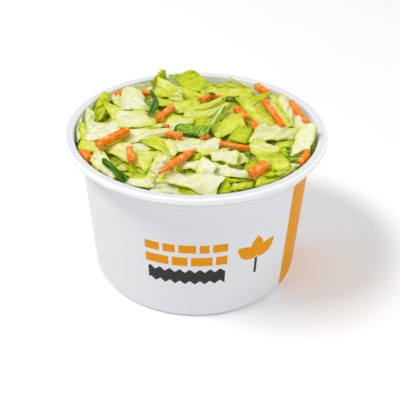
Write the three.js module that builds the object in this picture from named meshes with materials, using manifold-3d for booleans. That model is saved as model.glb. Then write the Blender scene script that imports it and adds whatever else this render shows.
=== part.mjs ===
// Coleslaw in its white paper cup: a rolled-rim paper tub, its recessed base disc and the salad heap.
// Millimetres, +Z up, origin at the centre of the foot ring on the table.
import * as THREE from "three";
import Module from "manifold-3d";

// ---- Driving dimensions ----
const PAPER = 0.5; // thickness of the cup's board
const GAP = 0.35; // clearance between separate pieces

const RIM_RADIUS = 49; // outside of the rolled rim
const CUP_HEIGHT = 58.7; // top of the rolled rim
const ROLL_HEIGHT = 2.4; // the rolled rim, top to bottom
const ROLL_CORNER = 0.9; // rounding of the roll's outer corners
const ROLL_END_RADIUS = 47.2; // where the curl stops underneath

const BAND_TOP_RADIUS = 45.85; // shoulder band under the rim, outside
const BAND_FOOT_RADIUS = 45.6;
const BAND_FOOT_Z = 52.1;
const LEDGE_Z = 50.4; // where the tapered wall meets the stacking ledge
const WALL_TOP_RADIUS = 43.35;

const BASE_RADIUS = 40.9; // outside of the wall just above the foot
const FOOT_ROUND = 2.5; // height of the foot's rounding
const FOOT_SIDE = 1.5; // width of the foot's rounding
const FOOT_INNER_RADIUS = 38.4; // inside of the crimped foot ring

const DISC_Z = 7; // underside of the recessed base disc
const DISC_RADIUS = 40.2;

const HEAP_EDGE = -2.4; // top of the heap at the wall, from the rim's height
const HEAP_CROWN = 7; // how much higher the heap is in the middle
const DIP_DEPTH = 3;
const HEAP_DIPS = [
  { at: [28, 30], reach: 17.3 },
  { at: [-34, 14], reach: 7.7 },
];
const CORE_DEPTH = 2; // the core lies this far under the heap's top
const LEAF_THICK = 1.1;
const RIB_THICK = 1.6;
const MOST_GROWTH = 1.6; // how far the lowest leaves reach under those on top of them
const FUSE = 0.35; // how far a piece sinks into what it lies on
const REST_SHARE = 0.82; // share of a piece's points that lie clear of what it rests on
const BED_LEAN = 0.85; // how much of the slope under it a piece takes on
const STEEPEST_BED = 0.6;

const WAVE_SHARE = 0.05; // height of a leaf's waves, as a share of its length
const MOST_WAVE = 0.8;
const WAVE_ALONG = 2.6; // radians from a leaf's middle to its end
const WAVE_ACROSS = 1.7; // radians from its middle to its side
const SHEET_CELL = 6; // leaves are split into cells no longer than about this
const FIELD_STEP = 0.8; // spacing of the points that raise the height field
const TRIAL_CELLS = [10, 6]; // cells along and across when a piece is tried on its bed

const EYE = new THREE.Vector3(0, -230.2, 184.2); // pieces are given as they look from here
const SIGHT_Z = 60; // and on this level

const CUP_SEGMENTS = 60;
const CORE_SEGMENTS = 36;
const CORE_RINGS = 7; // steps from the core's edge to its middle
const CORE_SIDE_SLACK = 0.1;
const CORE_TOP_INSET = 2; // the core's top edge lies this far inside the band
const CORE_LOWEST_TOP = BAND_FOOT_Z - 1.5;
const FIELD_HALF = 46; // reach of the height field
const NEVER_ZERO = 1 + 1e-6;
const SIMPLIFY = 0.03; // detail finer than this is dropped from the finished heap
const SEED = 20;

const deg = THREE.MathUtils.degToRad;
const wasm = await Module();
wasm.setup();

// ---- Small helpers ----

// Seeded random numbers in 0..1.
function randomSource(seed) {
  let state = seed >>> 0;
  return () => {
    state = (state + 0x6d2b79f5) >>> 0;
    let t = state;
    t = Math.imul(t ^ (t >>> 15), t | 1);
    t ^= t + Math.imul(t ^ (t >>> 7), t | 61);
    return ((t ^ (t >>> 14)) >>> 0) / 4294967296;
  };
}

// Points of a quarter or half round in the (radius, height) plane.
function arc(r, z, radius, from, to, steps) {
  const points = [];
  for (let i = 0; i <= steps; i++) {
    const a = deg(from + ((to - from) * i) / steps);
    points.push([r + radius * Math.cos(a), z + radius * Math.sin(a)]);
  }
  return points;
}

// A closed ring of revolution about +Z from a closed counter-clockwise profile of [radius, height].
function ring(profile, segments) {
  const positions = [];
  const faces = [];
  const n = profile.length;
  for (let i = 0; i < segments; i++) {
    const a = (2 * Math.PI * i) / segments;
    for (const [r, z] of profile) positions.push(r * Math.cos(a), r * Math.sin(a), z);
  }
  for (let i = 0; i < segments; i++) {
    const here = i * n;
    const next = ((i + 1) % segments) * n;
    for (let j = 0; j < n; j++) {
      const k = (j + 1) % n;
      faces.push(here + j, next + j, next + k, here + j, next + k, here + k);
    }
  }
  return { positions, faces };
}

function toGeometry({ positions, faces }) {
  const geometry = new THREE.BufferGeometry();
  geometry.setAttribute("position", new THREE.Float32BufferAttribute(positions, 3));
  geometry.setIndex(faces);
  geometry.computeVertexNormals();
  return geometry;
}

function toSolid({ positions, faces }) {
  return new wasm.Manifold(
    new wasm.Mesh({
      numProp: 3,
      vertProperties: new Float32Array(positions),
      triVerts: new Uint32Array(faces),
    }),
  );
}

function solidToGeometry(solid) {
  const mesh = solid.getMesh();
  return toGeometry({
    positions: Array.from(mesh.vertProperties),
    faces: Array.from(mesh.triVerts),
  });
}

// ---- Cup ----

const wallRadius = (z) =>
  BASE_RADIUS + ((WALL_TOP_RADIUS - BASE_RADIUS) * (z - FOOT_ROUND)) / (LEDGE_Z - FOOT_ROUND);

// The foot's rounded outer edge, from the flat underside up to the wall.
function footEdge(steps) {
  return Array.from({ length: steps + 1 }, (_, i) => {
    const a = (Math.PI / 2) * (i / steps);
    return [
      BASE_RADIUS - FOOT_SIDE * (1 - Math.sin(a)),
      FOOT_ROUND * (1 - Math.cos(a)),
    ];
  });
}

// Outside from the foot up to the curl's end, back over the roll, and down inside to the foot ring.
function cupProfile() {
  const rollBottom = CUP_HEIGHT - ROLL_HEIGHT;
  const cornerR = RIM_RADIUS - ROLL_CORNER;
  const topCornerZ = CUP_HEIGHT - ROLL_CORNER;
  const bottomCornerZ = rollBottom + ROLL_CORNER;
  const inner = ROLL_CORNER - PAPER;
  const footTop = DISC_Z - GAP;
  return [
    ...footEdge(3),
    [WALL_TOP_RADIUS, LEDGE_Z],
    [BAND_FOOT_RADIUS, BAND_FOOT_Z],
    [BAND_TOP_RADIUS, CUP_HEIGHT - 2 * PAPER],
    [BAND_TOP_RADIUS + PAPER, CUP_HEIGHT - PAPER],
    ...arc(cornerR, topCornerZ, inner, 90, 0, 1),
    ...arc(cornerR, bottomCornerZ, inner, 0, -90, 1),
    [ROLL_END_RADIUS, rollBottom + PAPER],
    [ROLL_END_RADIUS, rollBottom],
    ...arc(cornerR, bottomCornerZ, ROLL_CORNER, -90, 0, 3),
    ...arc(cornerR, topCornerZ, ROLL_CORNER, 0, 90, 3),
    [BAND_TOP_RADIUS + PAPER, CUP_HEIGHT],
    [BAND_TOP_RADIUS - PAPER, CUP_HEIGHT - ROLL_CORNER],
    [BAND_FOOT_RADIUS - PAPER, BAND_FOOT_Z + PAPER / 2],
    [WALL_TOP_RADIUS - PAPER, LEDGE_Z + PAPER / 2],
    [wallRadius(footTop) - PAPER, footTop],
    [FOOT_INNER_RADIUS, footTop],
    [FOOT_INNER_RADIUS, 0],
  ];
}

// The base disc, set on top of the foot ring inside the wall.
function discGeometry() {
  const disc = new THREE.CylinderGeometry(DISC_RADIUS, DISC_RADIUS, PAPER, CUP_SEGMENTS);
  disc.rotateX(Math.PI / 2);
  return disc.translate(0, 0, DISC_Z + PAPER / 2);
}

// Largest radius that salad may reach at a height, clear of the cup's inside.
function roomRadius(z) {
  const bandInner = BAND_FOOT_RADIUS - PAPER - GAP;
  const wallInner = wallRadius(Math.min(Math.max(z, FOOT_ROUND), LEDGE_Z)) - PAPER - GAP;
  const up = THREE.MathUtils.clamp((z - LEDGE_Z - 1) / (BAND_FOOT_Z - LEDGE_Z), 0, 1);
  return wallInner + (bandInner - wallInner) * up;
}

// ---- Heap ----

// Height of the finished heap's top: a low mound with its dips.
function heapTop(x, y) {
  const r = Math.min(Math.hypot(x, y) / BAND_FOOT_RADIUS, 1);
  const mound = CUP_HEIGHT + HEAP_EDGE + HEAP_CROWN * (1 - r * r);
  const dip = ({ at, reach }) => DIP_DEPTH * Math.exp(-((x - at[0]) ** 2 + (y - at[1]) ** 2) / reach ** 2);
  return HEAP_DIPS.reduce((z, place) => z - dip(place), mound);
}

const coreTop = (x, y) => heapTop(x, y) - CORE_DEPTH;

// The bulk of the salad: fills the cup from the base disc up to just under the shown pieces.
function corePart() {
  const segments = CORE_SEGMENTS;
  const rings = CORE_RINGS;
  const bottom = DISC_Z + PAPER + GAP;
  const sideHeights = [bottom, LEDGE_Z, BAND_FOOT_Z + 1];
  const positions = [0, 0, bottom];
  const faces = [];
  const at = (level, i) => 1 + level * segments + (i % segments);
  for (const z of sideHeights)
    for (let i = 0; i < segments; i++) {
      const a = (2 * Math.PI * i) / segments;
      const r = roomRadius(z) - CORE_SIDE_SLACK;
      positions.push(r * Math.cos(a), r * Math.sin(a), z);
    }
  for (let k = rings - 1; k >= 1; k--)
    for (let i = 0; i < segments; i++) {
      const a = (2 * Math.PI * i) / segments;
      const r = ((BAND_FOOT_RADIUS - CORE_TOP_INSET) * k) / rings;
      const x = r * Math.cos(a);
      const y = r * Math.sin(a);
      positions.push(x, y, Math.max(coreTop(x, y), CORE_LOWEST_TOP));
    }
  const levels = sideHeights.length + rings - 1;
  const apex = positions.length / 3;
  positions.push(0, 0, coreTop(0, 0));
  for (let i = 0; i < segments; i++) {
    faces.push(0, at(0, i + 1), at(0, i));
    for (let l = 0; l < levels - 1; l++) {
      faces.push(at(l, i), at(l, i + 1), at(l + 1, i + 1));
      faces.push(at(l, i), at(l + 1, i + 1), at(l + 1, i));
    }
    faces.push(at(levels - 1, i), at(levels - 1, i + 1), apex);
  }
  return { positions, faces };
}

// Top of everything laid so far, on a square grid of 1 mm cells.
class HeightField {
  constructor() {
    this.half = FIELD_HALF;
    this.size = 2 * this.half + 1;
    this.cells = new Float64Array(this.size * this.size);
    for (let j = 0; j < this.size; j++)
      for (let i = 0; i < this.size; i++)
        this.cells[j * this.size + i] = coreTop(i - this.half, j - this.half);
  }
  index(x, y) {
    const i = THREE.MathUtils.clamp(Math.round(x) + this.half, 0, this.size - 1);
    const j = THREE.MathUtils.clamp(Math.round(y) + this.half, 0, this.size - 1);
    return j * this.size + i;
  }
  get(x, y) {
    return this.cells[this.index(x, y)];
  }
  raise(x, y, z) {
    const k = this.index(x, y);
    this.cells[k] = Math.max(this.cells[k], z);
  }
  // Slopes of the plane that fits the field best under some points, as far as a piece takes them on.
  plane(points) {
    const meanX = points.reduce((sum, p) => sum + p.x, 0) / points.length;
    const meanY = points.reduce((sum, p) => sum + p.y, 0) / points.length;
    let xx = 0;
    let xy = 0;
    let yy = 0;
    let xz = 0;
    let yz = 0;
    for (const p of points) {
      const x = p.x - meanX;
      const y = p.y - meanY;
      const z = this.get(p.x, p.y);
      xx += x * x;
      xy += x * y;
      yy += y * y;
      xz += x * z;
      yz += y * z;
    }
    const det = xx * yy * NEVER_ZERO - xy * xy;
    const slope = (v) => BED_LEAN * THREE.MathUtils.clamp(v / det, -STEEPEST_BED, STEEPEST_BED);
    return { x: slope(yy * xz - xy * yz), y: slope(xx * yz - xy * xz) };
  }
}

// The place at height z that looks from EYE as if it lay at (x, y) on the level SIGHT_Z.
function inSight(x, y, z) {
  const share = (EYE.z - z) / (EYE.z - SIGHT_Z);
  return new THREE.Vector3(EYE.x + (x - EYE.x) * share, EYE.y + (y - EYE.y) * share, z);
}

// A place on a quad of four corners, for s and t of -1..1.
function blend([ax, ay, bx, by, cx, cy, dx, dy], s, t) {
  const near = (1 - t) / 2;
  const first = (1 - s) / 2;
  const along = (from, to) => first * from + (1 - first) * to;
  const x = near * along(ax, bx) + (1 - near) * along(dx, cx);
  const y = near * along(ay, by) + (1 - near) * along(dy, cy);
  return [x, y];
}

// Length and width of a quad in its middle.
function quadSizes([ax, ay, bx, by, cx, cy, dx, dy]) {
  return {
    length: Math.hypot(bx + cx - ax - dx, by + cy - ay - dy) / 2,
    width: Math.hypot(cx + dx - ax - bx, cy + dy - ay - by) / 2,
  };
}

// A point of a piece's middle surface, its middle at a height, on a bed with slopes in x and y.
function surfacePoint(piece, s, t, middleZ, slope) {
  const { quad, phase, length, width } = piece;
  const u = s * Math.sqrt(1 - (piece.rounded * t * t) / 2);
  const v = t * Math.sqrt(1 - (piece.rounded * s * s) / 2);
  const [x, y] = blend(quad, u, v);
  const [middleX, middleY] = blend(quad, 0, 0);
  const sideX = quad[6] - quad[0];
  const sideY = quad[7] - quad[1];
  const sweep = (piece.curve * (1 - u * u)) / Math.hypot(sideX, sideY);
  const bed = (x + sweep * sideX - middleX) * slope.x + (y + sweep * sideY - middleY) * slope.y;
  const z = middleZ + (piece.rise * u + piece.tilt * v) / 2 + bed;
  const point = inSight(x + sweep * sideX, y + sweep * sideY, z);
  if (piece.kind === "stick") return point;
  const farSide = Math.hypot(quad[4] - quad[2], quad[5] - quad[3]);
  const across = (t * (Math.hypot(sideX, sideY) * (1 - s) + farSide * (1 + s))) / 2 / width;
  const height = Math.min(WAVE_SHARE * length, MOST_WAVE);
  const wave = height * Math.sin(WAVE_ALONG * s + phase) * Math.cos(WAVE_ACROSS * across + phase);
  const bulge = piece.bow * (1 - u * u) + piece.cup * (1 - v * v) + wave;
  return point.addScaledVector(piece.normal, bulge);
}

// The upward normal of a piece that leans by its own rise and tilt.
function leanNormal({ quad, rise, tilt, z }) {
  const corner = (s, t) => inSight(...blend(quad, s, t), (z || SIGHT_Z) + (rise * s + tilt * t) / 2);
  const along = corner(1, -1).sub(corner(-1, -1));
  const across = corner(-1, 1).sub(corner(-1, -1));
  const normal = along.cross(across).normalize();
  return normal.z < 0 ? normal.negate() : normal;
}

// Keeps a point inside the cup, a margin clear of the wall.
function keepInside(p, margin) {
  const room = roomRadius(p.z) - margin;
  const r = Math.hypot(p.x, p.y);
  if (r > room) {
    p.x *= room / r;
    p.y *= room / r;
  }
  return p;
}

// Points of a piece's middle surface on an even grid.
function samples(surface, along, across) {
  const points = [];
  for (let i = 0; i <= along; i++)
    for (let j = 0; j <= across; j++) points.push(surface((2 * i) / along - 1, (2 * j) / across - 1));
  return points;
}

// Leans a piece on the heap, moves it along the sight until it rests, and lets its low parts drape.
function layPiece(piece, field) {
  const { thick, quad } = piece;
  let height = piece.z;
  let slope = { x: 0, y: 0 };
  if (!piece.z) {
    height = heapTop(...blend(quad, 0, 0));
    for (let round = 0; round < 3; round++) {
      const trial = samples((s, t) => surfacePoint(piece, s, t, height, slope), ...TRIAL_CELLS);
      slope = field.plane(trial);
      const laid = samples((s, t) => surfacePoint(piece, s, t, height, slope), ...TRIAL_CELLS);
      const clear = laid.map((p) => field.get(p.x, p.y) + thick / 2 - p.z).sort((a, b) => a - b);
      height += clear[Math.floor(clear.length * REST_SHARE)] + piece.lift;
    }
  }
  return (s, t) => {
    const p = surfacePoint(piece, s, t, height, slope);
    if (!piece.z && piece.kind !== "stick") p.z = Math.max(p.z, field.get(p.x, p.y) + thick / 2 - FUSE);
    return keepInside(p, thick / 2);
  };
}

function raiseField(field, surface, piece) {
  const along = Math.ceil(piece.length / FIELD_STEP);
  const across = Math.ceil(piece.width / FIELD_STEP);
  for (const p of samples(surface, along, across)) field.raise(p.x, p.y, p.z + piece.thick / 2);
}

// A thin closed solid on both sides of a grid of surface points, both faces split alike.
function thickSheet(surface, cellsAlong, cellsAcross, thick) {
  const cols = cellsAcross + 1;
  const rows = cellsAlong + 1;
  const mid = [];
  for (let i = 0; i < rows; i++)
    for (let j = 0; j < cols; j++)
      mid.push(surface((2 * i) / cellsAlong - 1, (2 * j) / cellsAcross - 1));
  const point = (i, j) =>
    mid[THREE.MathUtils.clamp(i, 0, rows - 1) * cols + THREE.MathUtils.clamp(j, 0, cols - 1)];
  const sides = [1, -1].map((side) =>
    mid.map((p, k) => {
      const i = Math.floor(k / cols);
      const j = k % cols;
      const along = point(i + 1, j).clone().sub(point(i - 1, j));
      const across = point(i, j + 1).clone().sub(point(i, j - 1));
      const normal = along.cross(across).normalize();
      return keepInside(p.clone().addScaledVector(normal, (side * thick) / 2), 0);
    }),
  );
  const positions = sides.flat().flatMap((p) => [p.x, p.y, p.z]);
  const faces = [];
  const under = rows * cols;
  for (let i = 0; i < cellsAlong; i++)
    for (let j = 0; j < cellsAcross; j++) {
      const a = i * cols + j;
      const b = a + cols;
      faces.push(a, b, b + 1, a, b + 1, a + 1);
      faces.push(a + under, b + 1 + under, b + under, a + under, a + 1 + under, b + 1 + under);
    }
  const wall = (a, b) => faces.push(a, b + under, b, a, a + under, b + under);
  for (let i = 0; i < cellsAlong; i++) {
    wall(i * cols, (i + 1) * cols);
    wall((i + 1) * cols + cellsAcross, i * cols + cellsAcross);
  }
  for (let j = 0; j < cellsAcross; j++) {
    wall(j + 1, j);
    wall(cellsAlong * cols + j, cellsAlong * cols + j + 1);
  }
  return { positions, faces };
}

// A carrot stick: a six-sided bar along the piece's middle line, as thick as it is wide.
function bar(surface, piece) {
  const sides = 6;
  const stations = 3;
  const positions = [];
  const faces = [];
  const start = surface(-1, 0);
  const end = surface(1, 0);
  const axis = end.clone().sub(start).normalize();
  const side = new THREE.Vector3(0, 0, 1).cross(axis).normalize();
  const up = axis.clone().cross(side);
  for (let k = 0; k < stations; k++) {
    const s = (2 * k) / (stations - 1) - 1;
    const centre = surface(s, 0);
    const radius = (piece.width / 2) * (1 - piece.rounded * s * s);
    for (let i = 0; i < sides; i++) {
      const a = (2 * Math.PI * (i + 0.5)) / sides;
      const p = centre.clone();
      p.addScaledVector(side, radius * Math.cos(a)).addScaledVector(up, radius * Math.sin(a));
      keepInside(p, 0);
      positions.push(p.x, p.y, p.z);
    }
  }
  for (let i = 0; i < sides; i++) {
    const j = (i + 1) % sides;
    for (let k = 0; k < stations - 1; k++) {
      const a = k * sides;
      const b = a + sides;
      faces.push(a + i, a + j, b + j, a + i, b + j, b + i);
    }
  }
  const last = (stations - 1) * sides;
  for (let i = 1; i < sides - 1; i++) {
    faces.push(0, i + 1, i);
    faces.push(last, last + i, last + i + 1);
  }
  return { positions, faces };
}

const FORM = { rise: 0, tilt: 0, bow: 0, cup: 0, curve: 0, rounded: 0, z: 0, lift: 0 };
const leaf = (quad, form) => ({ kind: "leaf", thick: LEAF_THICK, ...FORM, ...form, quad });
const rib = (quad, form) => ({ ...leaf(quad, form), thick: RIB_THICK });
const scrap = (quad, form) => ({ ...leaf(quad, form), kind: "scrap" }); // doesn't reach under others

// A square-cut stick between two ends.
function stick([ax, ay, bx, by], width, form) {
  const half = width / 2 / Math.hypot(bx - ax, by - ay);
  const nx = (ay - by) * half;
  const ny = (bx - ax) * half;
  const quad = [ax - nx, ay - ny, bx - nx, by - ny, bx + nx, by + ny, ax + nx, ay + ny];
  return { kind: "stick", thick: width, ...FORM, ...form, quad };
}

// Pieces that show, from the bottom of the heap to its top: x and y of the corners in turn, or of a
// stick's ends and its width, then the form. rise: the second end is higher. tilt: the last two corners
// are higher. bow, cup: bulge along and across. curve: sideways sweep. rounded: 1 is an oval.
// z: height of a standing piece's middle. lift: up from where it rests.
const SHOWN = [
  // back of the cup
  leaf([-28.5, 22, -17, 22, -18.5, 35, -28.7, 31], { tilt: 5, z: 55.5 }),
  leaf([-19.8, 32.5, -15.3, 48.4, -13.8, 48.4, -11.8, 36], { rise: 6, z: 60, cup: 0.3 }),
  leaf([11.5, 31, 22, 27, 20, 33, 13.8, 41.8], { tilt: 5, z: 57.5 }),
  leaf([-2, 22, 7.4, 33, -1.9, 46.4, -11.5, 41], { rise: -0.5, tilt: 5, z: 60.5, bow: 0.6 }),
  leaf([5.5, 28.5, 24, 24, 19.5, 33, 6.3, 34], { tilt: 3, z: 59, bow: 0.8 }),
  leaf([5.5, 23.5, 22, 21.5, 22, 27, 6, 29]),
  leaf([-17, 23.8, -2.3, 14.5, 4.2, 22, -16, 40], { tilt: 4, rise: -1, z: 59.6, cup: 0.5 }),
  leaf([1.5, 21, 4, 22, 3.8, 28.5, 1.8, 28], { tilt: 1.5, z: 60.5 }),
  stick([-35.6, 24, -17.7, 24.8], 2.2, { lift: 0.4 }),
  stick([2.2, 18.6, 6.4, 23.6], 2.2),
  stick([5.5, 23.8, 11.8, 20.2], 1.7, { lift: 0.4 }),
  scrap([4.8, 22.4, 7.4, 21.2, 7.6, 22.6, 5.2, 24], { lift: 0.8 }),
  // left wall
  leaf([-41.5, 3, -41.9, 14, -39.3, 18, -39, 3], { rise: 4, z: 56.5 }),
  leaf([-38.8, 0, -39.4, 24.5, -34, 26.6, -35, 1], { rise: 7, cup: -0.5, z: 57.8, rounded: 0.75 }),
  leaf([-40.3, -9, -42.6, 12.8, -38.4, 6, -37.8, -5], { rise: 5, z: 57, cup: 0.5 }),
  leaf([-42.6, -14, -44.8, 2, -43, 2.5, -41, -13], { rise: 2, z: 57 }),
  leaf([-40.8, -16, -43.2, -1.6, -41, -2.4, -38.5, -15], { rise: 2.5, z: 57.6, cup: 0.6 }),
  leaf([-29.3, 0, -22, 4, -27, 14, -34.6, 13.3], { tilt: 1 }),
  leaf([-36.2, 21.3, -28.5, 11.5, -28.5, 19, -35.5, 22.4]),
  leaf([-38.6, -14.6, -28.5, -9, -29.3, -0.8, -38.4, -1], { cup: 0.6 }),
  leaf([-28.6, 9.5, -17.6, 8.5, -23.6, 26.8, -28.9, 26.8], { tilt: 4, rounded: 0.3, bow: 1.4 }),
  // middle of the back
  leaf([-16.5, 14.3, -2.6, 12.5, -2.5, 16, -15.5, 19.5]),
  leaf([-11.2, 19, -5, 17, -5.8, 29, -7.4, 30], { tilt: 4, z: 60.8 }),
  leaf([-8.8, 10, 10, 16, 10.5, 21, -8, 14.5], { curve: -4, tilt: 1.6, cup: 0.8 }),
  leaf([-4, 4.5, 10.8, 9.5, 11.5, 15, -3, 9.5], { curve: -3, tilt: 1.6, cup: 0.8 }),
  leaf([-9, -1.5, 4, -2, 3, 2.5, -8.5, 6], { tilt: 1 }),
  leaf([-15.5, -3.5, -3, -3, -2, 2, -8.5, 4.5]),
  scrap([10, 15.6, 13.4, 19.8, 13.8, 20.9, 10.2, 17.3], { cup: 0.4 }),
  scrap([14.3, 20.6, 17.1, 22.4, 17.3, 23.4, 14.5, 21.6]),
  // right wall
  stick([24.8, 32.8, 31.2, 18.8], 2.9, { rise: -1.5, z: 60.3 }),
  leaf([40.2, -20, 43.4, -7, 44.8, -6.5, 42, -19], { rise: 2, z: 56.5 }),
  leaf([33.2, -2.5, 32.8, 9.5, 35, 6, 36, -2.5], { rise: 1, z: 58.5 }),
  leaf([36.2, -4.5, 31.4, 18.5, 35.2, 26.8, 39.6, -1], { rise: 5, z: 59.2, cup: 0.4 }),
  stick([37.5, 18.5, 40.6, 3.2], 2.1, { rise: -2, z: 59.5 }),
  stick([41.2, 2.6, 42, -2.2], 1.3, { z: 59.5 }),
  leaf([37.6, -2, 38.5, 3.2, 41.5, 3, 41.5, -2.5]),
  leaf([20.3, 13.2, 30.7, 27, 27.5, 28.6, 17.5, 21.8], { tilt: 1.5, bow: 0.8 }),
  leaf([30.2, -2.5, 28.5, 19.5, 31, 19.5, 34, -2.5], { rise: 1, tilt: -0.8 }),
  leaf([20.8, 12.8, 27.8, -2.2, 30, -2, 24.5, 14.6], { tilt: 1.2 }),
  leaf([16.8, 20.5, 23.4, -1.8, 25.8, 0.4, 19.4, 20], { tilt: 1.2, cup: 0.4 }),
  stick([26.9, 20.4, 32.3, -1.2], 2.3, { lift: 0.6 }),
  stick([15.5, 11.8, 19, 0], 2.4),
  stick([21.6, 0, 22.4, -6.8], 2.6, { lift: 0.2 }),
  // right front
  leaf([28.5, -17.5, 33, -17, 35.5, -9.5, 29.5, -13]),
  leaf([27, -22.4, 31.4, -22.8, 30.8, -18.6, 27, -19.2]),
  leaf([19.8, -12.8, 34.6, -11.6, 38, -4, 24, -2.4], { cup: 0.8 }),
  leaf([17.8, -19.8, 26, -25.2, 29.6, -17.8, 21.6, -11.8], { rounded: 0.8, cup: 1.6 }),
  leaf([16.3, -33.6, 21, -31, 21, -26.5, 18.2, -27.3]),
  leaf([18.3, -43.4, 35.2, -30.2, 33, -29.4, 20.3, -38], { tilt: 1.5 }),
  leaf([28.4, -31.6, 35, -30.2, 31.8, -28, 28.6, -28.6]),
  leaf([22.5, -30, 34, -30, 29, -24.2, 21.2, -24.2], { cup: 0.5 }),
  scrap([34.3, -28.4, 36.8, -27, 37.2, -23.8, 30.8, -23.5], { z: 58.4 }),
  leaf([23.3, -35.8, 29.6, -34.6, 29.2, -31, 25.4, -31]),
  leaf([26, -32.8, 30.6, -32.6, 30.4, -29, 25.8, -28.4], { cup: 1.6, lift: 0.4, rounded: 0.5 }),
  rib([32.2, -24, 39.4, -1.4, 45, -0.8, 40.3, -20], { rise: 3.5, tilt: 2.5, z: 59.6, cup: 0.8 }),
  stick([35.6, -28.6, 40.2, -20.8], 2.0, { rise: 1, z: 58.8 }),
  // left front
  leaf([-41, -20.4, -34.4, -21, -34.8, -14.8, -39.8, -14.4], { cup: 0.8 }),
  stick([-39.7, -21.6, -36, -26.8], 2.7, { lift: 0.4 }),
  rib([-36.5, -17, -28.5, -40.4, -25.3, -36.5, -33.5, -17], { curve: 1.5, cup: 0.6 }),
  leaf([-31.6, -20.5, -16, -37, -14.6, -24, -27, -17.3], { cup: -0.6 }),
  leaf([-20.6, -39.8, -15.4, -39.8, -15.8, -36, -20.2, -35.6]),
  leaf([-21, -29, -17, -33.4, -13, -21.3, -20.5, -21.3], { cup: 0.6 }),
  leaf([-29.6, -17.9, -9.5, -10, -8.2, -3.8, -24.3, -7], { tilt: 1.2, cup: 0.6 }),
  leaf([-28.3, -4.4, -14.8, -2.3, -14, 6.5, -30, 8], { cup: 1.5 }),
  leaf([-19.7, -13.6, -7.6, -25.8, -9.6, -12.8, -14, -11], { tilt: 0.8 }),
  leaf([-14.6, -25.2, -10.2, -24.8, -11, -22.4, -13, -21.5]),
  leaf([-15.7, -37.8, -13.2, -25, -8.8, -25, -10.6, -36.2], { cup: 0.5 }),
  leaf([-11.5, -12.8, -7.6, -25.4, -6, -19, -6.2, -14.2]),
  // front
  leaf([-6.5, -21, 7.5, -20.8, 8.4, -12.4, -6.6, -12], { cup: 0.5 }),
  leaf([0.5, -23.6, 10.8, -22.4, 11, -19, 2, -20]),
  leaf([-4.4, -27, 1.6, -26.6, 1.2, -22.4, -1.6, -23.4]),
  leaf([-5.8, -32.6, 0.6, -32, 1.6, -27.8, -5.6, -27.6], { cup: 0.6 }),
  leaf([14.3, -29.2, 17.6, -27.5, 18, -22.4, 14.4, -21.5]),
  leaf([5.8, -26.4, 13.6, -28.6, 14.4, -20.8, 5.4, -21.3], { cup: 0.5 }),
  leaf([9.6, -40.6, 17.6, -39.6, 17.2, -37.6, 9.4, -37.8]),
  leaf([5.4, -35.8, 18.4, -38, 16.6, -33.4, 6.4, -29.4], { cup: 0.5 }),
  leaf([0.2, -33.8, 5.2, -36, 7.2, -30, 2.4, -24.8], { cup: 0.4 }),
  leaf([7, -47.4, 11.2, -46.6, 11, -39.8, 9.6, -39.2]),
  leaf([11.2, -45, 18.3, -43.6, 18.4, -40.4, 12.4, -41.6], { cup: 0.8 }),
  leaf([-14.6, -45.8, -8.8, -47.2, -9.4, -43.8, -13, -43.2]),
  leaf([-22.8, -42.3, -9.5, -45.2, -9, -39.6, -22.5, -38.8], { rounded: 0.5, cup: 0.6 }),
  leaf([-12.2, -46.2, -4.3, -47.8, -5.4, -41.4, -8.2, -40.8]),
  leaf([-4.4, -47.8, 3.6, -48.2, 1, -42.8, -5.2, -41.8]),
  leaf([-11.4, -41, 6.3, -48.6, 9.7, -37.8, -12.4, -35.2], { cup: 0.8, lift: 0.3 }),
  // on top
  stick([-10.6, -8.4, -5.2, -10.2], 2.2),
  stick([-13.6, -2.6, -11.4, -3.2], 1.4),
  stick([2.2, -10.6, 4.4, -9.8], 1.8),
  leaf([2, -3.6, 8.6, 1, 12.6, 9, 7, 6]),
  leaf([7.2, -12.4, 19.3, -4, 14.2, 7.8, 5.4, -3], { cup: 0.6, lift: 0.2 }),
  leaf([11.4, -12.2, 18, -15.2, 20.9, -5.4, 16, -1.8], { cup: 0.8, lift: 0.2 }),
  scrap([-8.3, -8.2, 5, -12.2, 5.6, -2.8, -6.6, -1.8], { cup: 1.6, rounded: 0.5, lift: 0.4 }),
  scrap([0.6, -11.4, 10.2, 13.4, 11.6, 12.4, 4.2, -7.2], { lift: 0.8, cup: 0.4 }),
  stick([-14.3, 2.6, -9, 13], 2.4, { lift: 0.4 }),
  scrap([-19.8, 6, -20.2, 25.4, -17.4, 24.8, -17, 7], { curve: -3, rounded: 0.8, cup: 1.4, lift: 0.8 }),
  scrap([-20.8, 19.4, -18.3, 14.4, -18, 15.4, -20.3, 20.2], { lift: 0.3 }),
  stick([-34.9, -17.4, -24.9, -5.9], 2.7, { lift: 0.5 }),
  stick([-23.5, -19, -21.9, -28], 2.2, { lift: 0.4 }),
  scrap([-31.4, -27.4, -23, -41.2, -19.9, -38.6, -30, -26.2], { cup: 0.8, lift: 0.3 }),
  stick([-12.4, -35.2, 0.2, -18.8], 2.4, { lift: 0.4, rounded: 0.75 }),
  stick([8.4, -15, 18.8, -18.8], 1.9, { lift: 0.4 }),
  scrap([16.8, -21.8, 18.2, -24, 19, -21.4, 18, -20]),
  stick([18.5, -35.4, 23.9, -29.2], 3.3, { lift: 0.4 }),
];

// Moves a quad's sides out by a distance.
function grow([ax, ay, bx, by, cx, cy, dx, dy], distance) {
  const { length, width } = quadSizes([ax, ay, bx, by, cx, cy, dx, dy]);
  const alongX = ((bx + cx - ax - dx) / 2 / length) * distance;
  const alongY = ((by + cy - ay - dy) / 2 / length) * distance;
  const acrossX = ((cx + dx - ax - bx) / 2 / width) * distance;
  const acrossY = ((cy + dy - ay - by) / 2 / width) * distance;
  return [
    ax - alongX - acrossX,
    ay - alongY - acrossY,
    bx + alongX - acrossX,
    by + alongY - acrossY,
    cx + alongX + acrossX,
    cy + alongY + acrossY,
    dx - alongX + acrossX,
    dy - alongY + acrossY,
  ];
}

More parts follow.
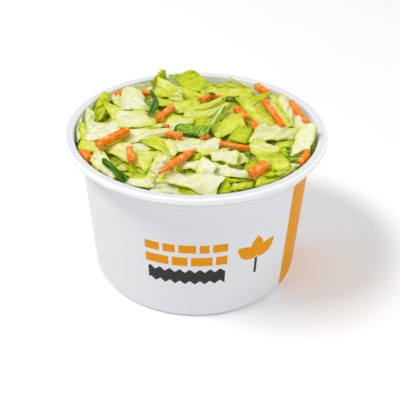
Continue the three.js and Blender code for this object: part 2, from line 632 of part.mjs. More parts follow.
function shownPieces() {
  const random = randomSource(SEED);
  return SHOWN.map((piece, place) => {
    const phase = 2 * Math.PI * random();
    const grows = piece.kind === "leaf" && !piece.z;
    const quad = grows ? grow(piece.quad, MOST_GROWTH * (1 - place / SHOWN.length)) : piece.quad;
    return { ...piece, ...quadSizes(quad), quad, phase, normal: leanNormal({ ...piece, quad }) };
  });
}

const sheetCells = (size) => THREE.MathUtils.clamp(Math.ceil(size / SHEET_CELL), 2, 3);

function slawGeometry() {
  const field = new HeightField();
  const parts = [corePart()];
  for (const piece of shownPieces()) {
    const surface = layPiece(piece, field);
    if (piece.kind === "stick") parts.push(bar(surface, piece));
    else parts.push(thickSheet(surface, sheetCells(piece.length), sheetCells(piece.width), piece.thick));
    raiseField(field, surface, piece);
  }
  let heap = toSolid(parts[0]);
  for (const part of parts.slice(1)) heap = heap.add(toSolid(part));
  const bodies = heap.decompose();
  bodies.sort((a, b) => b.volume() - a.volume());
  return solidToGeometry(bodies[0].simplify(SIMPLIFY));
}

// ---- Materials ----

const paper = new THREE.MeshStandardMaterial({ color: 0xf1f3f5, roughness: 0.45, metalness: 0 });
const basePaper = new THREE.MeshStandardMaterial({ color: 0xeeeeec, roughness: 0.6, metalness: 0 });
const salad = new THREE.MeshStandardMaterial({ color: 0xd3dd8e, roughness: 0.35, metalness: 0 });

// ---- Scene graph ----

function named(name, geometry, material) {
  const mesh = new THREE.Mesh(geometry, material);
  mesh.name = name;
  return mesh;
}

const tub = new THREE.Group();
tub.add(named("cup", toGeometry(ring(cupProfile(), CUP_SEGMENTS)), paper));
tub.add(named("cup_base", discGeometry(), basePaper));

const coleslaw = new THREE.Group();
coleslaw.add(tub);
coleslaw.add(named("slaw", slawGeometry(), salad));

export default coleslaw;
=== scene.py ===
"""Coleslaw in a white paper cup: the cup, its heap of cut vegetables and a small studio."""
import functools
import math
from dataclasses import dataclass

import bpy
import numpy as np
from mathutils import Matrix, Vector


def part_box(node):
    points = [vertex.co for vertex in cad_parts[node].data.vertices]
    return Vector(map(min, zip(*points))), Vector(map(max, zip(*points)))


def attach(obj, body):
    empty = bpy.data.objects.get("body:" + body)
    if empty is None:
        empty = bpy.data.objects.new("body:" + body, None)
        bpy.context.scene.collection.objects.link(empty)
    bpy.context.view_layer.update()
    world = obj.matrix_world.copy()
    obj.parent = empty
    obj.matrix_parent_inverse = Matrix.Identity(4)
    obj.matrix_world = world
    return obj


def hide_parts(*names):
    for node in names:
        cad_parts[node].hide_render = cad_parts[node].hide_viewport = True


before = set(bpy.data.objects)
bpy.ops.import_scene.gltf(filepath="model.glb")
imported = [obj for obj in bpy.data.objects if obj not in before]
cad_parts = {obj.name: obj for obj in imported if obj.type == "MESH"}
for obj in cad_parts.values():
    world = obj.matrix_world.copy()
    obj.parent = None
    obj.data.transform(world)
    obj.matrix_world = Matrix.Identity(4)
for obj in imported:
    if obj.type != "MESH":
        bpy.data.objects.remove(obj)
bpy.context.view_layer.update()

_, CUP_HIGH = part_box("cup")
BASE_LOW, BASE_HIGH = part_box("cup_base")

bl_info = {
    "name": "Coleslaw in a paper cup",
    "version": (1, 0, 0),
    "blender": (4, 5, 0),
    "location": "View3D > Sidebar > Slaw",
    "description": "Makes the paper cup, the heap of cut vegetables and the studio",
    "category": "Add Mesh",
}

MM = 0.001
IMAGE_WIDTH = 400  # pixels
SENSOR_WIDTH = 36  # millimetres

# ---- Sizes, in millimetres ----
RIM_RADIUS = CUP_HIGH.x / MM
CUP_HEIGHT = CUP_HIGH.z / MM
BOARD = 0.5  # thickness of the paper board
ROLL_HEIGHT = 2.4
ROLL_CORNER = 0.9
ROLL_END_RADIUS = RIM_RADIUS - 1.8
BAND_TOP_RADIUS = RIM_RADIUS - 3.15
BAND_FOOT_RADIUS = RIM_RADIUS - 3.4
BAND_FOOT_Z = 52.1
LEDGE_Z = 50.4
WALL_TOP_RADIUS = 43.35
BASE_RADIUS = 40.9
FOOT_ROUND = 2.5
FOOT_SIDE = 1.5
FOOT_INNER_RADIUS = 38.4
CLEARANCE = 0.35
DISC_TOP = BASE_HIGH.z / MM
DISC_FOOT = BASE_LOW.z / MM
SEAM_ANGLE = math.radians(98)  # from the front, towards +X
SEAM_WIDTH = 8.0
SEAM_STEP = 0.35
SEAM_CLIFF = 0.05  # share of the seam's half width over which its step rises
SEAM_SLOPE = 0.9  # and over which it falls back

HEAP_EDGE = -2.4  # top of the heap at the wall, from the rim's height
HEAP_CROWN = 7.0
HEAP_DIPS = (  # x, y and depth of the hollows in the heap's top, and their spread in square millimetres
    (28, 30, 3, 300),
    (-34, 14, 3, 60),
)
CORE_DEPTH = 4.8  # the core's top lies this far under the heap's
CORE_SEGMENTS = 96
CORE_SIDE_HEIGHTS = (20.0, 35.0, LEDGE_Z, BAND_FOOT_Z - 2)  # of the rings up its side
CORE_TOP_RINGS = 26
CORE_HUB = 0.5  # radius of the flat at the middle of its foot
CORE_GAP = 0.1  # between its side and the room for slaw
ROOM_MARGIN = 0.25  # between the slaw and the cup's inside
SKIN_STEP = 2.0  # of the coarse surface that the shreds lie on
SKIN_HALF = 40.0
SKIN_RADIUS = 41.0
SKIN_LIFT = 0.2

FIELD_CELL = 0.5
FIELD_HALF = 46.0
COVER_STEPS = 3  # places each way within a sheet's face that raise the field
EYE = (0.0, -230.2, 184.2)  # the heap's pieces are given as seen from here
SIGHT_Z = 60.0
SEED = 20
LEAF_THICK = 0.5
RIB_THICK = 1.4
SHEET_CELL = 0.75  # size of the faces of a shown sheet
MOST_GROWTH = 1.6  # how far the lowest shown leaves reach under those on top of them
LEAN = 0.85  # a piece leans by this share of the slope under it
STEEPEST = 0.6  # slope of the plane that a piece leans on
FUSE = 0.25  # how far a leaf's low parts stay sunk in what they lie on
REST_SHARE = 0.82  # share of a piece's points that lie clear of what it rests on
MOST_DRAPE = 1.6  # how far a leaf's low parts bend up over what they lie on
EDGE_THINNING = 0.45  # a sheet's edges are this share thinner than its middle
CUT_EDGE = 1.0  # width of the darker cut edge
BURIED_SHADE_FROM = 0.6  # painted shade on a sheet starts this far under the finished heap
BURIED_SHADE_OVER = 5.0
CREASE_ANGLE = math.radians(50)  # a cut edge sharper than this shows as a line
STICK_BEVEL = 0.3  # length of the taper at a stick's ends
STICK_END = 0.84  # width of a stick's ends, as a share of the width beside them
STICK_FLATNESS = 0.92
STICK_UNEVENNESS = 0.35
SHRED_LEAN = 0.35  # radians that a shred may lean out of the surface

FILLER_DEPTH = 2.0  # the filler leaves lie this far under the heap's top
FILLER_RADIUS = 42.5  # their middles lie within this radius
FILLER_MIDDLE_Y = -2.0
FILLER_CELL = 1.1
FILLER_CLEARANCE = 1.5  # above the core, in thicknesses of a leaf
FILLER_HALF_LENGTH = (6.0, 10.0)
FILLER_HALF_WIDTH = (2.5, 6.0)
FILLER_TAPER = (1.0, 0.4)  # width of the narrow side, as a share of the wide one
FILLER_TONE = (0.15, 0.7)
GOLDEN_ANGLE = math.radians(137.508)

# ---- Camera and lights, in metres ----
CAMERA_TARGET = Vector((0, 0, 25)) * MM
CAMERA_ELEVATION = math.radians(34.67)
CAMERA_DISTANCE = 279.9 * MM
CAMERA_FOCAL = 695.5  # pixels
CAMERA_ASIDE = math.radians(0.376)  # turned so that the cup's axis lies just left of the middle
CAMERA_ROLL = math.radians(0.466)
KEY_FROM = Vector((-0.92, -0.18, 1.5))  # place of the large light
KEY_COLOUR = (1.0, 0.99, 0.97)
SKY_COLOUR = (0.985, 0.99, 1.0, 1.0)
FLOOR_HALF = 4000.0  # millimetres
FLOOR_GAP = 0.00002  # between the floor and the cup's foot


def srgb(red, green, blue, alpha=1.0):
    """A colour given in screen values of 0..255, as linear light."""
    def linear(value):
        value /= 255
        return value / 12.92 if value <= 0.04045 else ((value + 0.055) / 1.055) ** 2.4
    return (linear(red), linear(green), linear(blue), alpha)


# ---- Node trees ----

class Socket:
    """One output of a node tree. Python's operators on it add Math nodes."""

    def __init__(self, graph, socket):
        self.graph = graph
        self.socket = socket

    def math(self, operation, *others, clamp=False):
        settings = {"operation": operation, "use_clamp": clamp}
        return self.graph.add("ShaderNodeMath", settings, self, *others)

    def reflected(self, operation, other):
        return self.graph.add("ShaderNodeMath", {"operation": operation}, other, self)

    def __add__(self, other):
        return self.math("ADD", other)

    def __radd__(self, other):
        return self.reflected("ADD", other)

    def __sub__(self, other):
        return self.math("SUBTRACT", other)

    def __rsub__(self, other):
        return self.reflected("SUBTRACT", other)

    def __mul__(self, other):
        return self.math("MULTIPLY", other)

    def __rmul__(self, other):
        return self.reflected("MULTIPLY", other)

    def __truediv__(self, other):
        return self.math("DIVIDE", other)

    def __pow__(self, other):
        return self.math("POWER", other)

    def __abs__(self):
        return self.math("ABSOLUTE")

    def __gt__(self, other):
        return self.math("GREATER_THAN", other)

    def __lt__(self, other):
        return self.math("LESS_THAN", other)

    def clamp(self):
        return self.math("MULTIPLY", 1.0, clamp=True)

    def either(self, other):
        return self.math("MAXIMUM", other)

    def between(self, low, high):
        return (self > low) * (self < high)


class Graph:
    """A node tree that is filled node by node."""

    def __init__(self, tree):
        self.tree = tree

    def feed(self, target, value):
        """Links an input to a socket, or gives it a value."""
        if isinstance(value, Socket):
            self.tree.links.new(value.socket, target)
        elif value is not None:
            target.default_value = value

    def add(self, kind, settings=None, *values, sockets=None, out=0):
        """Adds a node, sets it up, then feeds its sockets by place or by name."""
        node = self.tree.nodes.new(kind)
        for key, value in (settings or {}).items():
            if key == "stops":
                self.set_stops(node.color_ramp, value)
            else:
                setattr(node, key, value)
        for place, value in enumerate(values):
            self.feed(node.inputs[place], value)
        for name, value in (sockets or {}).items():
            self.feed(node.inputs[name], value)
        return Socket(self, node.outputs[out]) if node.outputs else node

    @staticmethod
    def set_stops(ramp, stops):
        while len(ramp.elements) < len(stops):
            ramp.elements.new(0.5)
        for element, (place, colour) in zip(ramp.elements, stops):
            element.position = place
            element.color = colour

    def mix(self, factor, a, b):
        """Colour a where the factor is 0, b where it is 1."""
        sockets = {0: factor, 6: a, 7: b}
        return self.add("ShaderNodeMix", {"data_type": "RGBA"}, sockets=sockets, out=2)

    def ramp(self, factor, stops):
        return self.add("ShaderNodeValToRGB", {"stops": stops}, factor)

    def noise(self, vector, scale, detail=2.0, rough=0.5, distort=0.0):
        sockets = {
            "Vector": vector, "Scale": scale, "Detail": detail,
            "Roughness": rough, "Distortion": distort,
        }
        return self.add("ShaderNodeTexNoise", sockets=sockets)

    def cells(self, vector, scale):
        """Distance to the borders between random cells."""
        sockets = {"Vector": vector, "Scale": scale}
        return self.add("ShaderNodeTexVoronoi", {"feature": "DISTANCE_TO_EDGE"}, sockets=sockets)

    def split(self, vector):
        node = self.add("ShaderNodeSeparateXYZ", None, vector).socket.node
        return [Socket(self, output) for output in node.outputs]

    def join(self, x, y, z):
        return self.add("ShaderNodeCombineXYZ", None, x, y, z)

    def vector(self, operation, *values, sockets=None):
        return self.add("ShaderNodeVectorMath", {"operation": operation}, *values, sockets=sockets)

    def attribute(self, name):
        return self.add("ShaderNodeAttribute", {"attribute_name": name}, out="Fac")

    def object_mm(self):
        """Place on the piece, in millimetres."""
        place = self.add("ShaderNodeTexCoord", out="Object")
        return self.vector("SCALE", place, sockets={"Scale": 1 / MM})

    def on_piece(self):
        """Millimetres along and across a cut piece, from its own map."""
        along, across, _ = self.split(self.add("ShaderNodeUVMap", {"uv_map": "piece"}))
        return along, across

    def bump(self, height, strength, distance):
        sockets = {"Height": height, "Strength": strength, "Distance": distance}
        return self.add("ShaderNodeBump", sockets=sockets)


def round_axis(x, y):
    """Distance from the cup's axis, and angle round it from the front towards +X."""
    return (x * x + y * y) ** 0.5, x.math("ARCTAN2", y * -1.0)


def new_material(name, build):
    """A material whose surface is the Principled shader, fed and set by build(graph)."""
    material = bpy.data.materials.new(name)
    material.use_nodes = True
    graph = Graph(material.node_tree)
    material.node_tree.nodes.clear()
    shader = graph.add("ShaderNodeBsdfPrincipled", sockets=build(graph))
    graph.add("ShaderNodeOutputMaterial", None, shader)
    return material


# ---- Print on the cup, in millimetres ----

MIDDLE_RADIUS = (BASE_RADIUS + WALL_TOP_RADIUS) / 2  # places round the wall are arcs on this radius
ROLL_SHADE = 2.2  # height of the shaded stretch under the rolled rim
STRIPE_ANGLE = math.radians(53.5)  # left edge of the upright stripe, from the front
STRIPE_WIDTH = 31.0
WORD_BARS = (  # rows of plain bars: foot, height, and each bar's start and end round the wall
    (31.6, 3.6, ((-18.0, -12.6), (-11.4, -7.0), (-5.8, 0.4), (1.6, 5.0), (6.2, 11.6))),
    (25.6, 4.0, ((-18.0, -9.4), (-8.2, -2.6), (-1.4, 6.2), (7.4, 11.6))),
)
DARK_BAR = (17.6, 5.6, -17.2, 11.0)  # foot, height, start and end of the dark rippled band
RIPPLE_HEIGHT = 0.8
SPRIG_CENTRE = (23.2, 25.2)
SPRIG_LEAF = 10.0  # length of a leaf
SPRIG_GAP = 0.6  # between a leaf and the sprig's centre
SPRIG_WIDTH = 2.7
SPRIG_TURNS = (-52, 0, 52)
STEM_WIDTH = 1.1
STEM_LENGTH = 7.5


def orange_print(around, z):
    """Mask of the stripe, the word bars and the sprig's leaves, from a place round and up the wall."""
    left = STRIPE_ANGLE * MIDDLE_RADIUS
    orange = around.between(left, left + STRIPE_WIDTH)
    for foot, height, bars in WORD_BARS:
        row = z.between(foot, foot + height)
        for start, end in bars:
            orange = orange.either(row * around.between(start, end))
    across = around - SPRIG_CENTRE[0]
    up = z - SPRIG_CENTRE[1]
    for turn in SPRIG_TURNS:
        c = math.cos(math.radians(turn))
        s = math.sin(math.radians(turn))
        along = up * c + across * s
        side = across * c - up * s
        bulge = 1.0 - (along * (2 / SPRIG_LEAF) - 1.0) ** 2.0
        blade = (bulge * SPRIG_WIDTH > abs(side)) * along.between(SPRIG_GAP, SPRIG_LEAF)
        orange = orange.either(blade)
    return orange


def dark_print(around, z):
    """Mask of the rippled band and the sprig's stem."""
    foot, height, start, end = DARK_BAR
    ripple = (around * 1.1).math("PINGPONG", 2.0) - 1.0
    band = (z - ripple * RIPPLE_HEIGHT).between(foot, foot + height) * around.between(start, end)
    across = around - SPRIG_CENTRE[0]
    up = z - SPRIG_CENTRE[1]
    stem = across.between(-STEM_WIDTH / 2, STEM_WIDTH / 2) * up.between(-STEM_LENGTH, 0.0)
    return band.either(stem)


# ---- Materials ----

def soaked(weight, reach, scale=0.001):
    """How much light soaks into moist flesh, and how far its red, green and blue reach."""
    return {"Subsurface Weight": weight, "Subsurface Radius": reach, "Subsurface Scale": scale}


def paper_material(cup):
    """Coated white board with plain orange and dark print on the wall's outside, painted shade on the
    rim's flat top, under the rolled rim and at the band's foot, and a painted highlight on the roll.
    """
    def build(graph):
        place = graph.object_mm()
        x, y, z = graph.split(place)
        radius, angle = round_axis(x, y)
        wall = wall_radius(z)
        around = angle * MIDDLE_RADIUS
        outside = (radius > wall - BOARD * 0.6) * (z < LEDGE_Z + 0.1) * (z > 0.25)

        fibre = graph.noise(place, 0.9, 4.0, 0.6)
        paper = graph.mix(fibre, tuple(cup.paper_colour), tuple(cup.paper_shade))
        # Painted shade: the rim's flat top, the stretch under the rolled rim and the line at the band's
        # foot are mixed towards a darker colour.
        flat = radius.between(BAND_TOP_RADIUS + 0.5, RIM_RADIUS - ROLL_CORNER) * (z > CUP_HEIGHT - 0.5)
        roll_bottom = CUP_HEIGHT - ROLL_HEIGHT
        roll_underside_shade = (1.0 - (roll_bottom - ROLL_SHADE - z) * 1.4).clamp() * (z < roll_bottom)
        band_foot_shade = (1.0 - abs(z - BAND_FOOT_Z) * 3.0).clamp()
        painted_shade_mask = (roll_underside_shade * 0.55 + band_foot_shade * 0.8).clamp() * (radius > wall)
        paper = graph.mix((flat * 0.4 + painted_shade_mask).clamp(), paper, tuple(cup.painted_shade_colour))
        # Painted highlight: the rim's round outside is mixed towards a lighter colour.
        roll = (radius > RIM_RADIUS - ROLL_CORNER) * (z > roll_bottom)
        paper = graph.mix(roll, paper, tuple(cup.roll_highlight_colour))
        ink = graph.mix(fibre, tuple(cup.stripe_colour), srgb(234, 150, 0))
        colour = graph.mix(orange_print(around, z) * outside, paper, ink)
        colour = graph.mix(dark_print(around, z) * outside, colour, tuple(cup.dark_colour))
        tooth = graph.noise(place, 2.2, 3.0)
        ripples = graph.noise(place, 0.11, 1.0)
        return {
            "Base Color": colour,
            "Roughness": 0.42 + fibre * 0.14,
            "IOR": 1.46,
            "Specular IOR Level": 0.12,
            "Normal": graph.bump(tooth * 0.12 + ripples * 2.2, 0.5, 0.00012),
        }
    return new_material("cup_paper", build)


def base_material():
    """Matt board of the base disc."""
    def build(graph):
        place = graph.object_mm()
        fibre = graph.noise(place, 1.4, 4.0, 0.6)
        return {
            "Base Color": graph.mix(fibre, srgb(238, 237, 232), srgb(228, 227, 222)),
            "Roughness": 0.55 + fibre * 0.15,
            "Normal": graph.bump(graph.noise(place, 3.0, 3.0), 0.4, 0.00008),
        }
    return new_material("base_paper", build)


CABBAGE_TONES = (
    (0.0, srgb(245, 247, 214)),
    (0.2, srgb(237, 241, 168)),
    (0.42, srgb(224, 230, 66)),
    (0.7, srgb(196, 210, 0)),
    (1.0, srgb(132, 182, 0)),
)


def cabbage_material(name):
    """Cut cabbage leaf, from white ribs to green rims, with veins, darker cut edges and painted olive
    shade where it lies under other pieces.
    """
    def build(graph):
        along, across = graph.on_piece()
        tone = graph.attribute("tone")
        edge = graph.attribute("edge")
        buried = graph.attribute("buried")
        rib = graph.attribute("rib")
        seed = graph.attribute("seed")
        place = graph.join(along, across, seed * 90.0)

        bend = graph.noise(place, 0.09, 1.0) * 5.0 + seed * 7.0
        fan = across.math("ARCTAN2", along + 30.0) * 26.0 + bend
        vein = abs(fan.math("SINE")) ** 14.0
        side_veins = abs(((along + abs(across) * 0.9) * 0.55 + bend).math("SINE")) ** 22.0
        fibres = graph.noise(graph.join(along * 0.14, across * 1.7, seed * 50.0), 1.0, 3.0, 0.6)
        net = 1.0 - (graph.cells(place, 0.8) * 6.0).clamp()
        patch = graph.noise(place, 0.13, 2.0, 0.5)
        flat = 1.0 - rib
        veins = (vein * 0.8 + side_veins * 0.4 * flat + net * 0.1 * flat).clamp()

        shade = tone + (patch - 0.53) * 0.65 + (fibres - 0.5) * 0.15 - veins * 0.22 + edge * 0.32
        # Painted shade: parts that lie under other pieces turn more yellow-green and are mixed towards
        # dark olive.
        shade = (shade + buried * 0.3).clamp()
        colour = graph.ramp(shade, CABBAGE_TONES)
        deep_shade_colour = graph.vector("MULTIPLY", colour, (0.96, 0.92, 0.12))
        colour = graph.mix(buried.clamp() * 0.9, colour, deep_shade_colour)
        relief = veins * 0.6 + fibres * 0.25 + graph.noise(place, 0.24, 1.0) * 6.0
        return {
            "Base Color": colour,
            "Roughness": 0.12 + patch * 0.14,
            "IOR": 1.42,
            "Specular IOR Level": 0.25,
            "Subsurface Anisotropy": 0.3,
            "Normal": graph.bump(relief, 0.8, 0.0004),
            **soaked(0.4, (1.0, 1.0, 0.4), 0.0012),
        }
    return new_material(name, build)


def carrot_material():
    """Moist carrot with a grain along the stick and paler spots."""
    def build(graph):
        place = graph.object_mm()
        along = graph.attribute("along")
        around = graph.attribute("around")
        seed = graph.attribute("seed")
        grain = graph.noise(graph.join(along * 0.16, around * 9.0, seed * 40.0), 1.0, 3.0, 0.6)
        spots = graph.noise(place, 0.55, 2.0)
        pale = graph.ramp(spots * 0.6 + grain * 0.4, (
            (0.35, srgb(255, 108, 0)),
            (0.5, srgb(255, 136, 6)),
            (0.67, srgb(255, 192, 124)),
        ))
        return {
            "Base Color": pale,
            "Roughness": 0.16 + spots * 0.1,
            "IOR": 1.42,
            "Specular IOR Level": 0.16,
            "Normal": graph.bump(grain * 0.8 + graph.noise(place, 1.6, 2.0) * 0.5, 0.6, 0.0003),
            **soaked(0.15, (1.0, 0.5, 0.1)),
        }
    return new_material("carrot", build)


def herb_material():
    """Dark green skin that turns bright towards the cut edges, with a pale streak down its middle that is
    partly the mid-vein and partly a painted highlight.
    """
    def build(graph):
        along, across = graph.on_piece()
        seed = graph.attribute("seed")
        tone = graph.attribute("tone")
        edge = graph.attribute("edge")
        lines = graph.noise(graph.join(along * 0.1, across * 1.6, seed * 40.0), 1.0, 2.0)
        # A pale streak down the middle: partly the pale mid-vein, partly a painted highlight.
        middle = (1.0 - abs(across + (lines - 0.5) * 0.8) * 2.4).clamp()
        colour = graph.ramp((1.0 - tone) * 0.6 + (lines - 0.5) * 1.3 + 0.14 + middle * 0.45, (
            (0.0, srgb(6, 52, 0)),
            (0.35, srgb(48, 110, 0)),
            (0.7, srgb(160, 200, 10)),
            (1.0, srgb(236, 242, 160)),
        ))
        return {
            "Base Color": graph.mix(edge * 0.3, colour, srgb(120, 180, 50)),
            "Roughness": 0.12 + lines * 0.12,
            "IOR": 1.42,
            "Specular IOR Level": 0.16,
            "Normal": graph.bump(lines, 0.9, 0.0005),
            **soaked(0.15, (0.5, 1.0, 0.15)),
        }
    return new_material("green_herb", build)


def pepper_material():
    """Bumpy green flesh inside a dark skin."""
    def build(graph):
        place = graph.object_mm()
        edge = graph.attribute("edge")
        lumps = graph.cells(place, 0.9)
        flesh = graph.ramp(lumps, (
            (0.0, srgb(84, 140, 0)),
            (0.12, srgb(150, 196, 16)),
            (0.4, srgb(214, 230, 110)),
        ))
        return {
            "Base Color": graph.mix((edge * 1.1).clamp(), flesh, srgb(24, 84, 0)),
            "Roughness": 0.16,
            "Specular IOR Level": 0.2,
            "Normal": graph.bump(lumps, 0.8, 0.0006),
            **soaked(0.3, (0.6, 1.0, 0.2)),
        }
    return new_material("green_pepper", build)


def core_material():
    """Packed slaw between and under the shown pieces, in dark olive colours that are painted shade."""
    def build(graph):
        place = graph.object_mm()
        strands = graph.noise(graph.vector("MULTIPLY", place, (0.5, 1.6, 1.0)), 0.35, 4.0, 0.6, 1.5)
        # Dark olive colours: painted shade in the gaps between the shown pieces.
        colour = graph.ramp(strands, (
            (0.3, srgb(112, 92, 6)),
            (0.5, srgb(176, 168, 14)),
            (0.7, srgb(214, 216, 60)),
        ))
        return {
            "Base Color": colour,
            "Roughness": 0.4 + strands * 0.2,
            "Specular IOR Level": 0.15,
            "Normal": graph.bump(strands, 1.0, 0.0012),
            **soaked(0.2, (0.9, 1.0, 0.2)),
        }
    return new_material("slaw_core", build)


def shred_material():
    """Pale, juicy slivers."""
    def build(graph):
        place = graph.object_mm()
        speck = graph.noise(place, 0.3, 2.0)
        colour = graph.ramp(speck, (
            (0.3, srgb(206, 214, 70)),
            (0.6, srgb(228, 232, 150)),
        ))
        return {
            "Base Color": colour,
            "Roughness": 0.3 + speck * 0.15,
            "Specular IOR Level": 0.2,
            "Normal": graph.bump(graph.noise(place, 2.0, 2.0), 0.5, 0.0002),
            **soaked(0.4, (0.9, 1.0, 0.25)),
        }
    return new_material("fine_shreds", build)


def floor_material(stage):
    """Plain pale paper that glows a little."""
    def build(graph):
        place = graph.object_mm()
        grain = graph.noise(place, 0.02, 2.0)
        return {
            "Base Color": graph.mix(grain, tuple(stage.floor_colour), (0.93, 0.93, 0.935, 1.0)),
            "Roughness": 0.9 + grain * 0.05,
            "Specular IOR Level": 0.1,
            "Emission Color": (1.0, 1.0, 1.0, 1.0),
            "Emission Strength": stage.floor_glow,
        }
    return new_material("floor_white", build)


# ---- Meshes ----

def linked(name, mesh, material=None):
    """A new object in the scene, with its mesh's only material where one is given."""
    piece = bpy.data.objects.new(name, mesh)
    bpy.context.scene.collection.objects.link(piece)
    if material:
        mesh.materials.clear()
        mesh.materials.append(material)
    return piece


def plain_mesh(name, points, faces, edges=()):
    """A smooth mesh from points in millimetres."""
    mesh = bpy.data.meshes.new(name)
    mesh.from_pydata((np.asarray(points) * MM).tolist(), list(edges), np.asarray(faces).tolist())
    mesh.shade_smooth()
    return mesh


def store(mesh, name, values):
    """Stores one value for each vertex, for a material or a tree to read."""
    attribute = mesh.attributes.new(name, "FLOAT", "POINT")
    attribute.data.foreach_set("value", np.asarray(values, np.float32).ravel())


def store_map(mesh, name, points):
    """A UV map from one pair of values for each vertex."""
    corners = np.empty(len(mesh.loops), np.int32)
    mesh.loops.foreach_get("vertex_index", corners)
    layer = mesh.uv_layers.new(name=name)
    layer.data.foreach_set("uv", np.asarray(points, np.float32)[corners].ravel())


def grid_faces(rows, cols, close_rows=False):
    """Quads of a grid of rows x cols points, row by row."""
    i, j = np.meshgrid(np.arange(rows if close_rows else rows - 1), np.arange(cols - 1), indexing="ij")
    a = (i * cols + j).ravel()
    b = (((i + 1) % rows) * cols + j).ravel()
    return np.column_stack((a, b, b + 1, a + 1))


def run_tree(name, mesh, tree, values):
    """Runs a node tree on a mesh and returns the result as a plain mesh."""
    holder = linked(name + "_source", mesh)
    modifier = holder.modifiers.new("shape", "NODES")
    modifier.node_group = tree
    for item in tree.interface.items_tree:
        if item.in_out == "INPUT" and item.name in values:
            modifier[item.identifier] = values[item.name]
    depsgraph = bpy.context.evaluated_depsgraph_get()
    result = bpy.data.meshes.new_from_object(holder.evaluated_get(depsgraph))
    result.name = name
    holder.modifiers.remove(modifier)
    bpy.data.objects.remove(holder)
    return result


class ShapeTree(Graph):
    """A Geometry Nodes tree with named inputs, which takes a geometry and gives one."""

    def __init__(self, name, inputs):
        super().__init__(bpy.data.node_groups.new(name, "GeometryNodeTree"))
        face = self.tree.interface
        face.new_socket("Geometry", in_out="INPUT", socket_type="NodeSocketGeometry")
        for key, kind in inputs:
            face.new_socket(key, in_out="INPUT", socket_type=kind)
        face.new_socket("Geometry", in_out="OUTPUT", socket_type="NodeSocketGeometry")
        self.entry = self.tree.nodes.new("NodeGroupInput")

    def input(self, name):
        return Socket(self, self.entry.outputs[name])

    def field(self, name):
        settings = {"data_type": "FLOAT"}
        return self.add("GeometryNodeInputNamedAttribute", settings, sockets={"Name": name})

    def finish(self, geometry, material):
        real = self.add("GeometryNodeRealizeInstances", None, geometry)
        painted = self.add("GeometryNodeSetMaterial", sockets={"Geometry": real, "Material": material})
        self.add("NodeGroupOutput", None, painted)
        return self.tree


# ---- Cup ----

def arc(r, z, radius, start, end, steps):
    """Points of a circular arc, with its angles in degrees from outwards, upwards positive."""
    angles = np.radians(np.linspace(start, end, steps + 1))
    return [(r + radius * math.cos(a), z + radius * math.sin(a)) for a in angles]


def wall_radius(z):
    """Outer radius of the tapered wall at a height."""
    share = (z - FOOT_ROUND) / (LEDGE_Z - FOOT_ROUND)
    return BASE_RADIUS + (WALL_TOP_RADIUS - BASE_RADIUS) * share


def soft_step(low, high, steps):
    """Points of an S-shaped step between two (radius, height) points."""
    shares = np.linspace(0, 1, steps + 1)
    return [
        (
            low[0] + (high[0] - low[0]) * (share * share * (3 - 2 * share)),
            low[1] + (high[1] - low[1]) * share,
        )
        for share in shares
    ]


def cup_profile():
    """The board's closed section: foot, outside, rolled rim and inside."""
    roll_bottom = CUP_HEIGHT - ROLL_HEIGHT
    corner_r = RIM_RADIUS - ROLL_CORNER
    top_z = CUP_HEIGHT - ROLL_CORNER
    bottom_z = roll_bottom + ROLL_CORNER
    inner = ROLL_CORNER - BOARD
    foot_top = DISC_FOOT - CLEARANCE
    foot = [
        (BASE_RADIUS - FOOT_SIDE * (1 - math.sin(a)), FOOT_ROUND * (1 - math.cos(a)))
        for a in np.linspace(0, math.pi / 2, 9)
    ]
    wall_outside = [(wall_radius(z), z) for z in np.linspace(8, LEDGE_Z, 9)]
    ledge = soft_step((WALL_TOP_RADIUS, LEDGE_Z), (BAND_FOOT_RADIUS, BAND_FOOT_Z), 6)[1:]
    ledge_inside = soft_step(
        (BAND_FOOT_RADIUS - BOARD, BAND_FOOT_Z + BOARD / 2),
        (WALL_TOP_RADIUS - BOARD, LEDGE_Z + BOARD / 2),
        6,
    )
    return [
        *foot,
        *wall_outside,
        *ledge,
        (BAND_TOP_RADIUS, CUP_HEIGHT - 2 * BOARD),
        *arc(BAND_TOP_RADIUS + BOARD, CUP_HEIGHT - 2 * BOARD, BOARD, 180, 90, 3)[1:],
        *arc(corner_r, top_z, inner, 90, 0, 4),
        *arc(corner_r, bottom_z, inner, 0, -90, 4),
        (ROLL_END_RADIUS, roll_bottom + BOARD),
        (ROLL_END_RADIUS, roll_bottom),
        *arc(corner_r, bottom_z, ROLL_CORNER, -90, 0, 8),
        *arc(corner_r, top_z, ROLL_CORNER, 0, 90, 8),
        *arc(BAND_TOP_RADIUS + BOARD, CUP_HEIGHT - 2 * BOARD, 2 * BOARD, 90, 180, 6),
        *ledge_inside,
        (wall_radius(30) - BOARD, 30),
        (wall_radius(foot_top) - BOARD, foot_top),
        (FOOT_INNER_RADIUS, foot_top),
        (FOOT_INNER_RADIUS, 0.4),
        (FOOT_INNER_RADIUS + 0.4, 0),
    ]


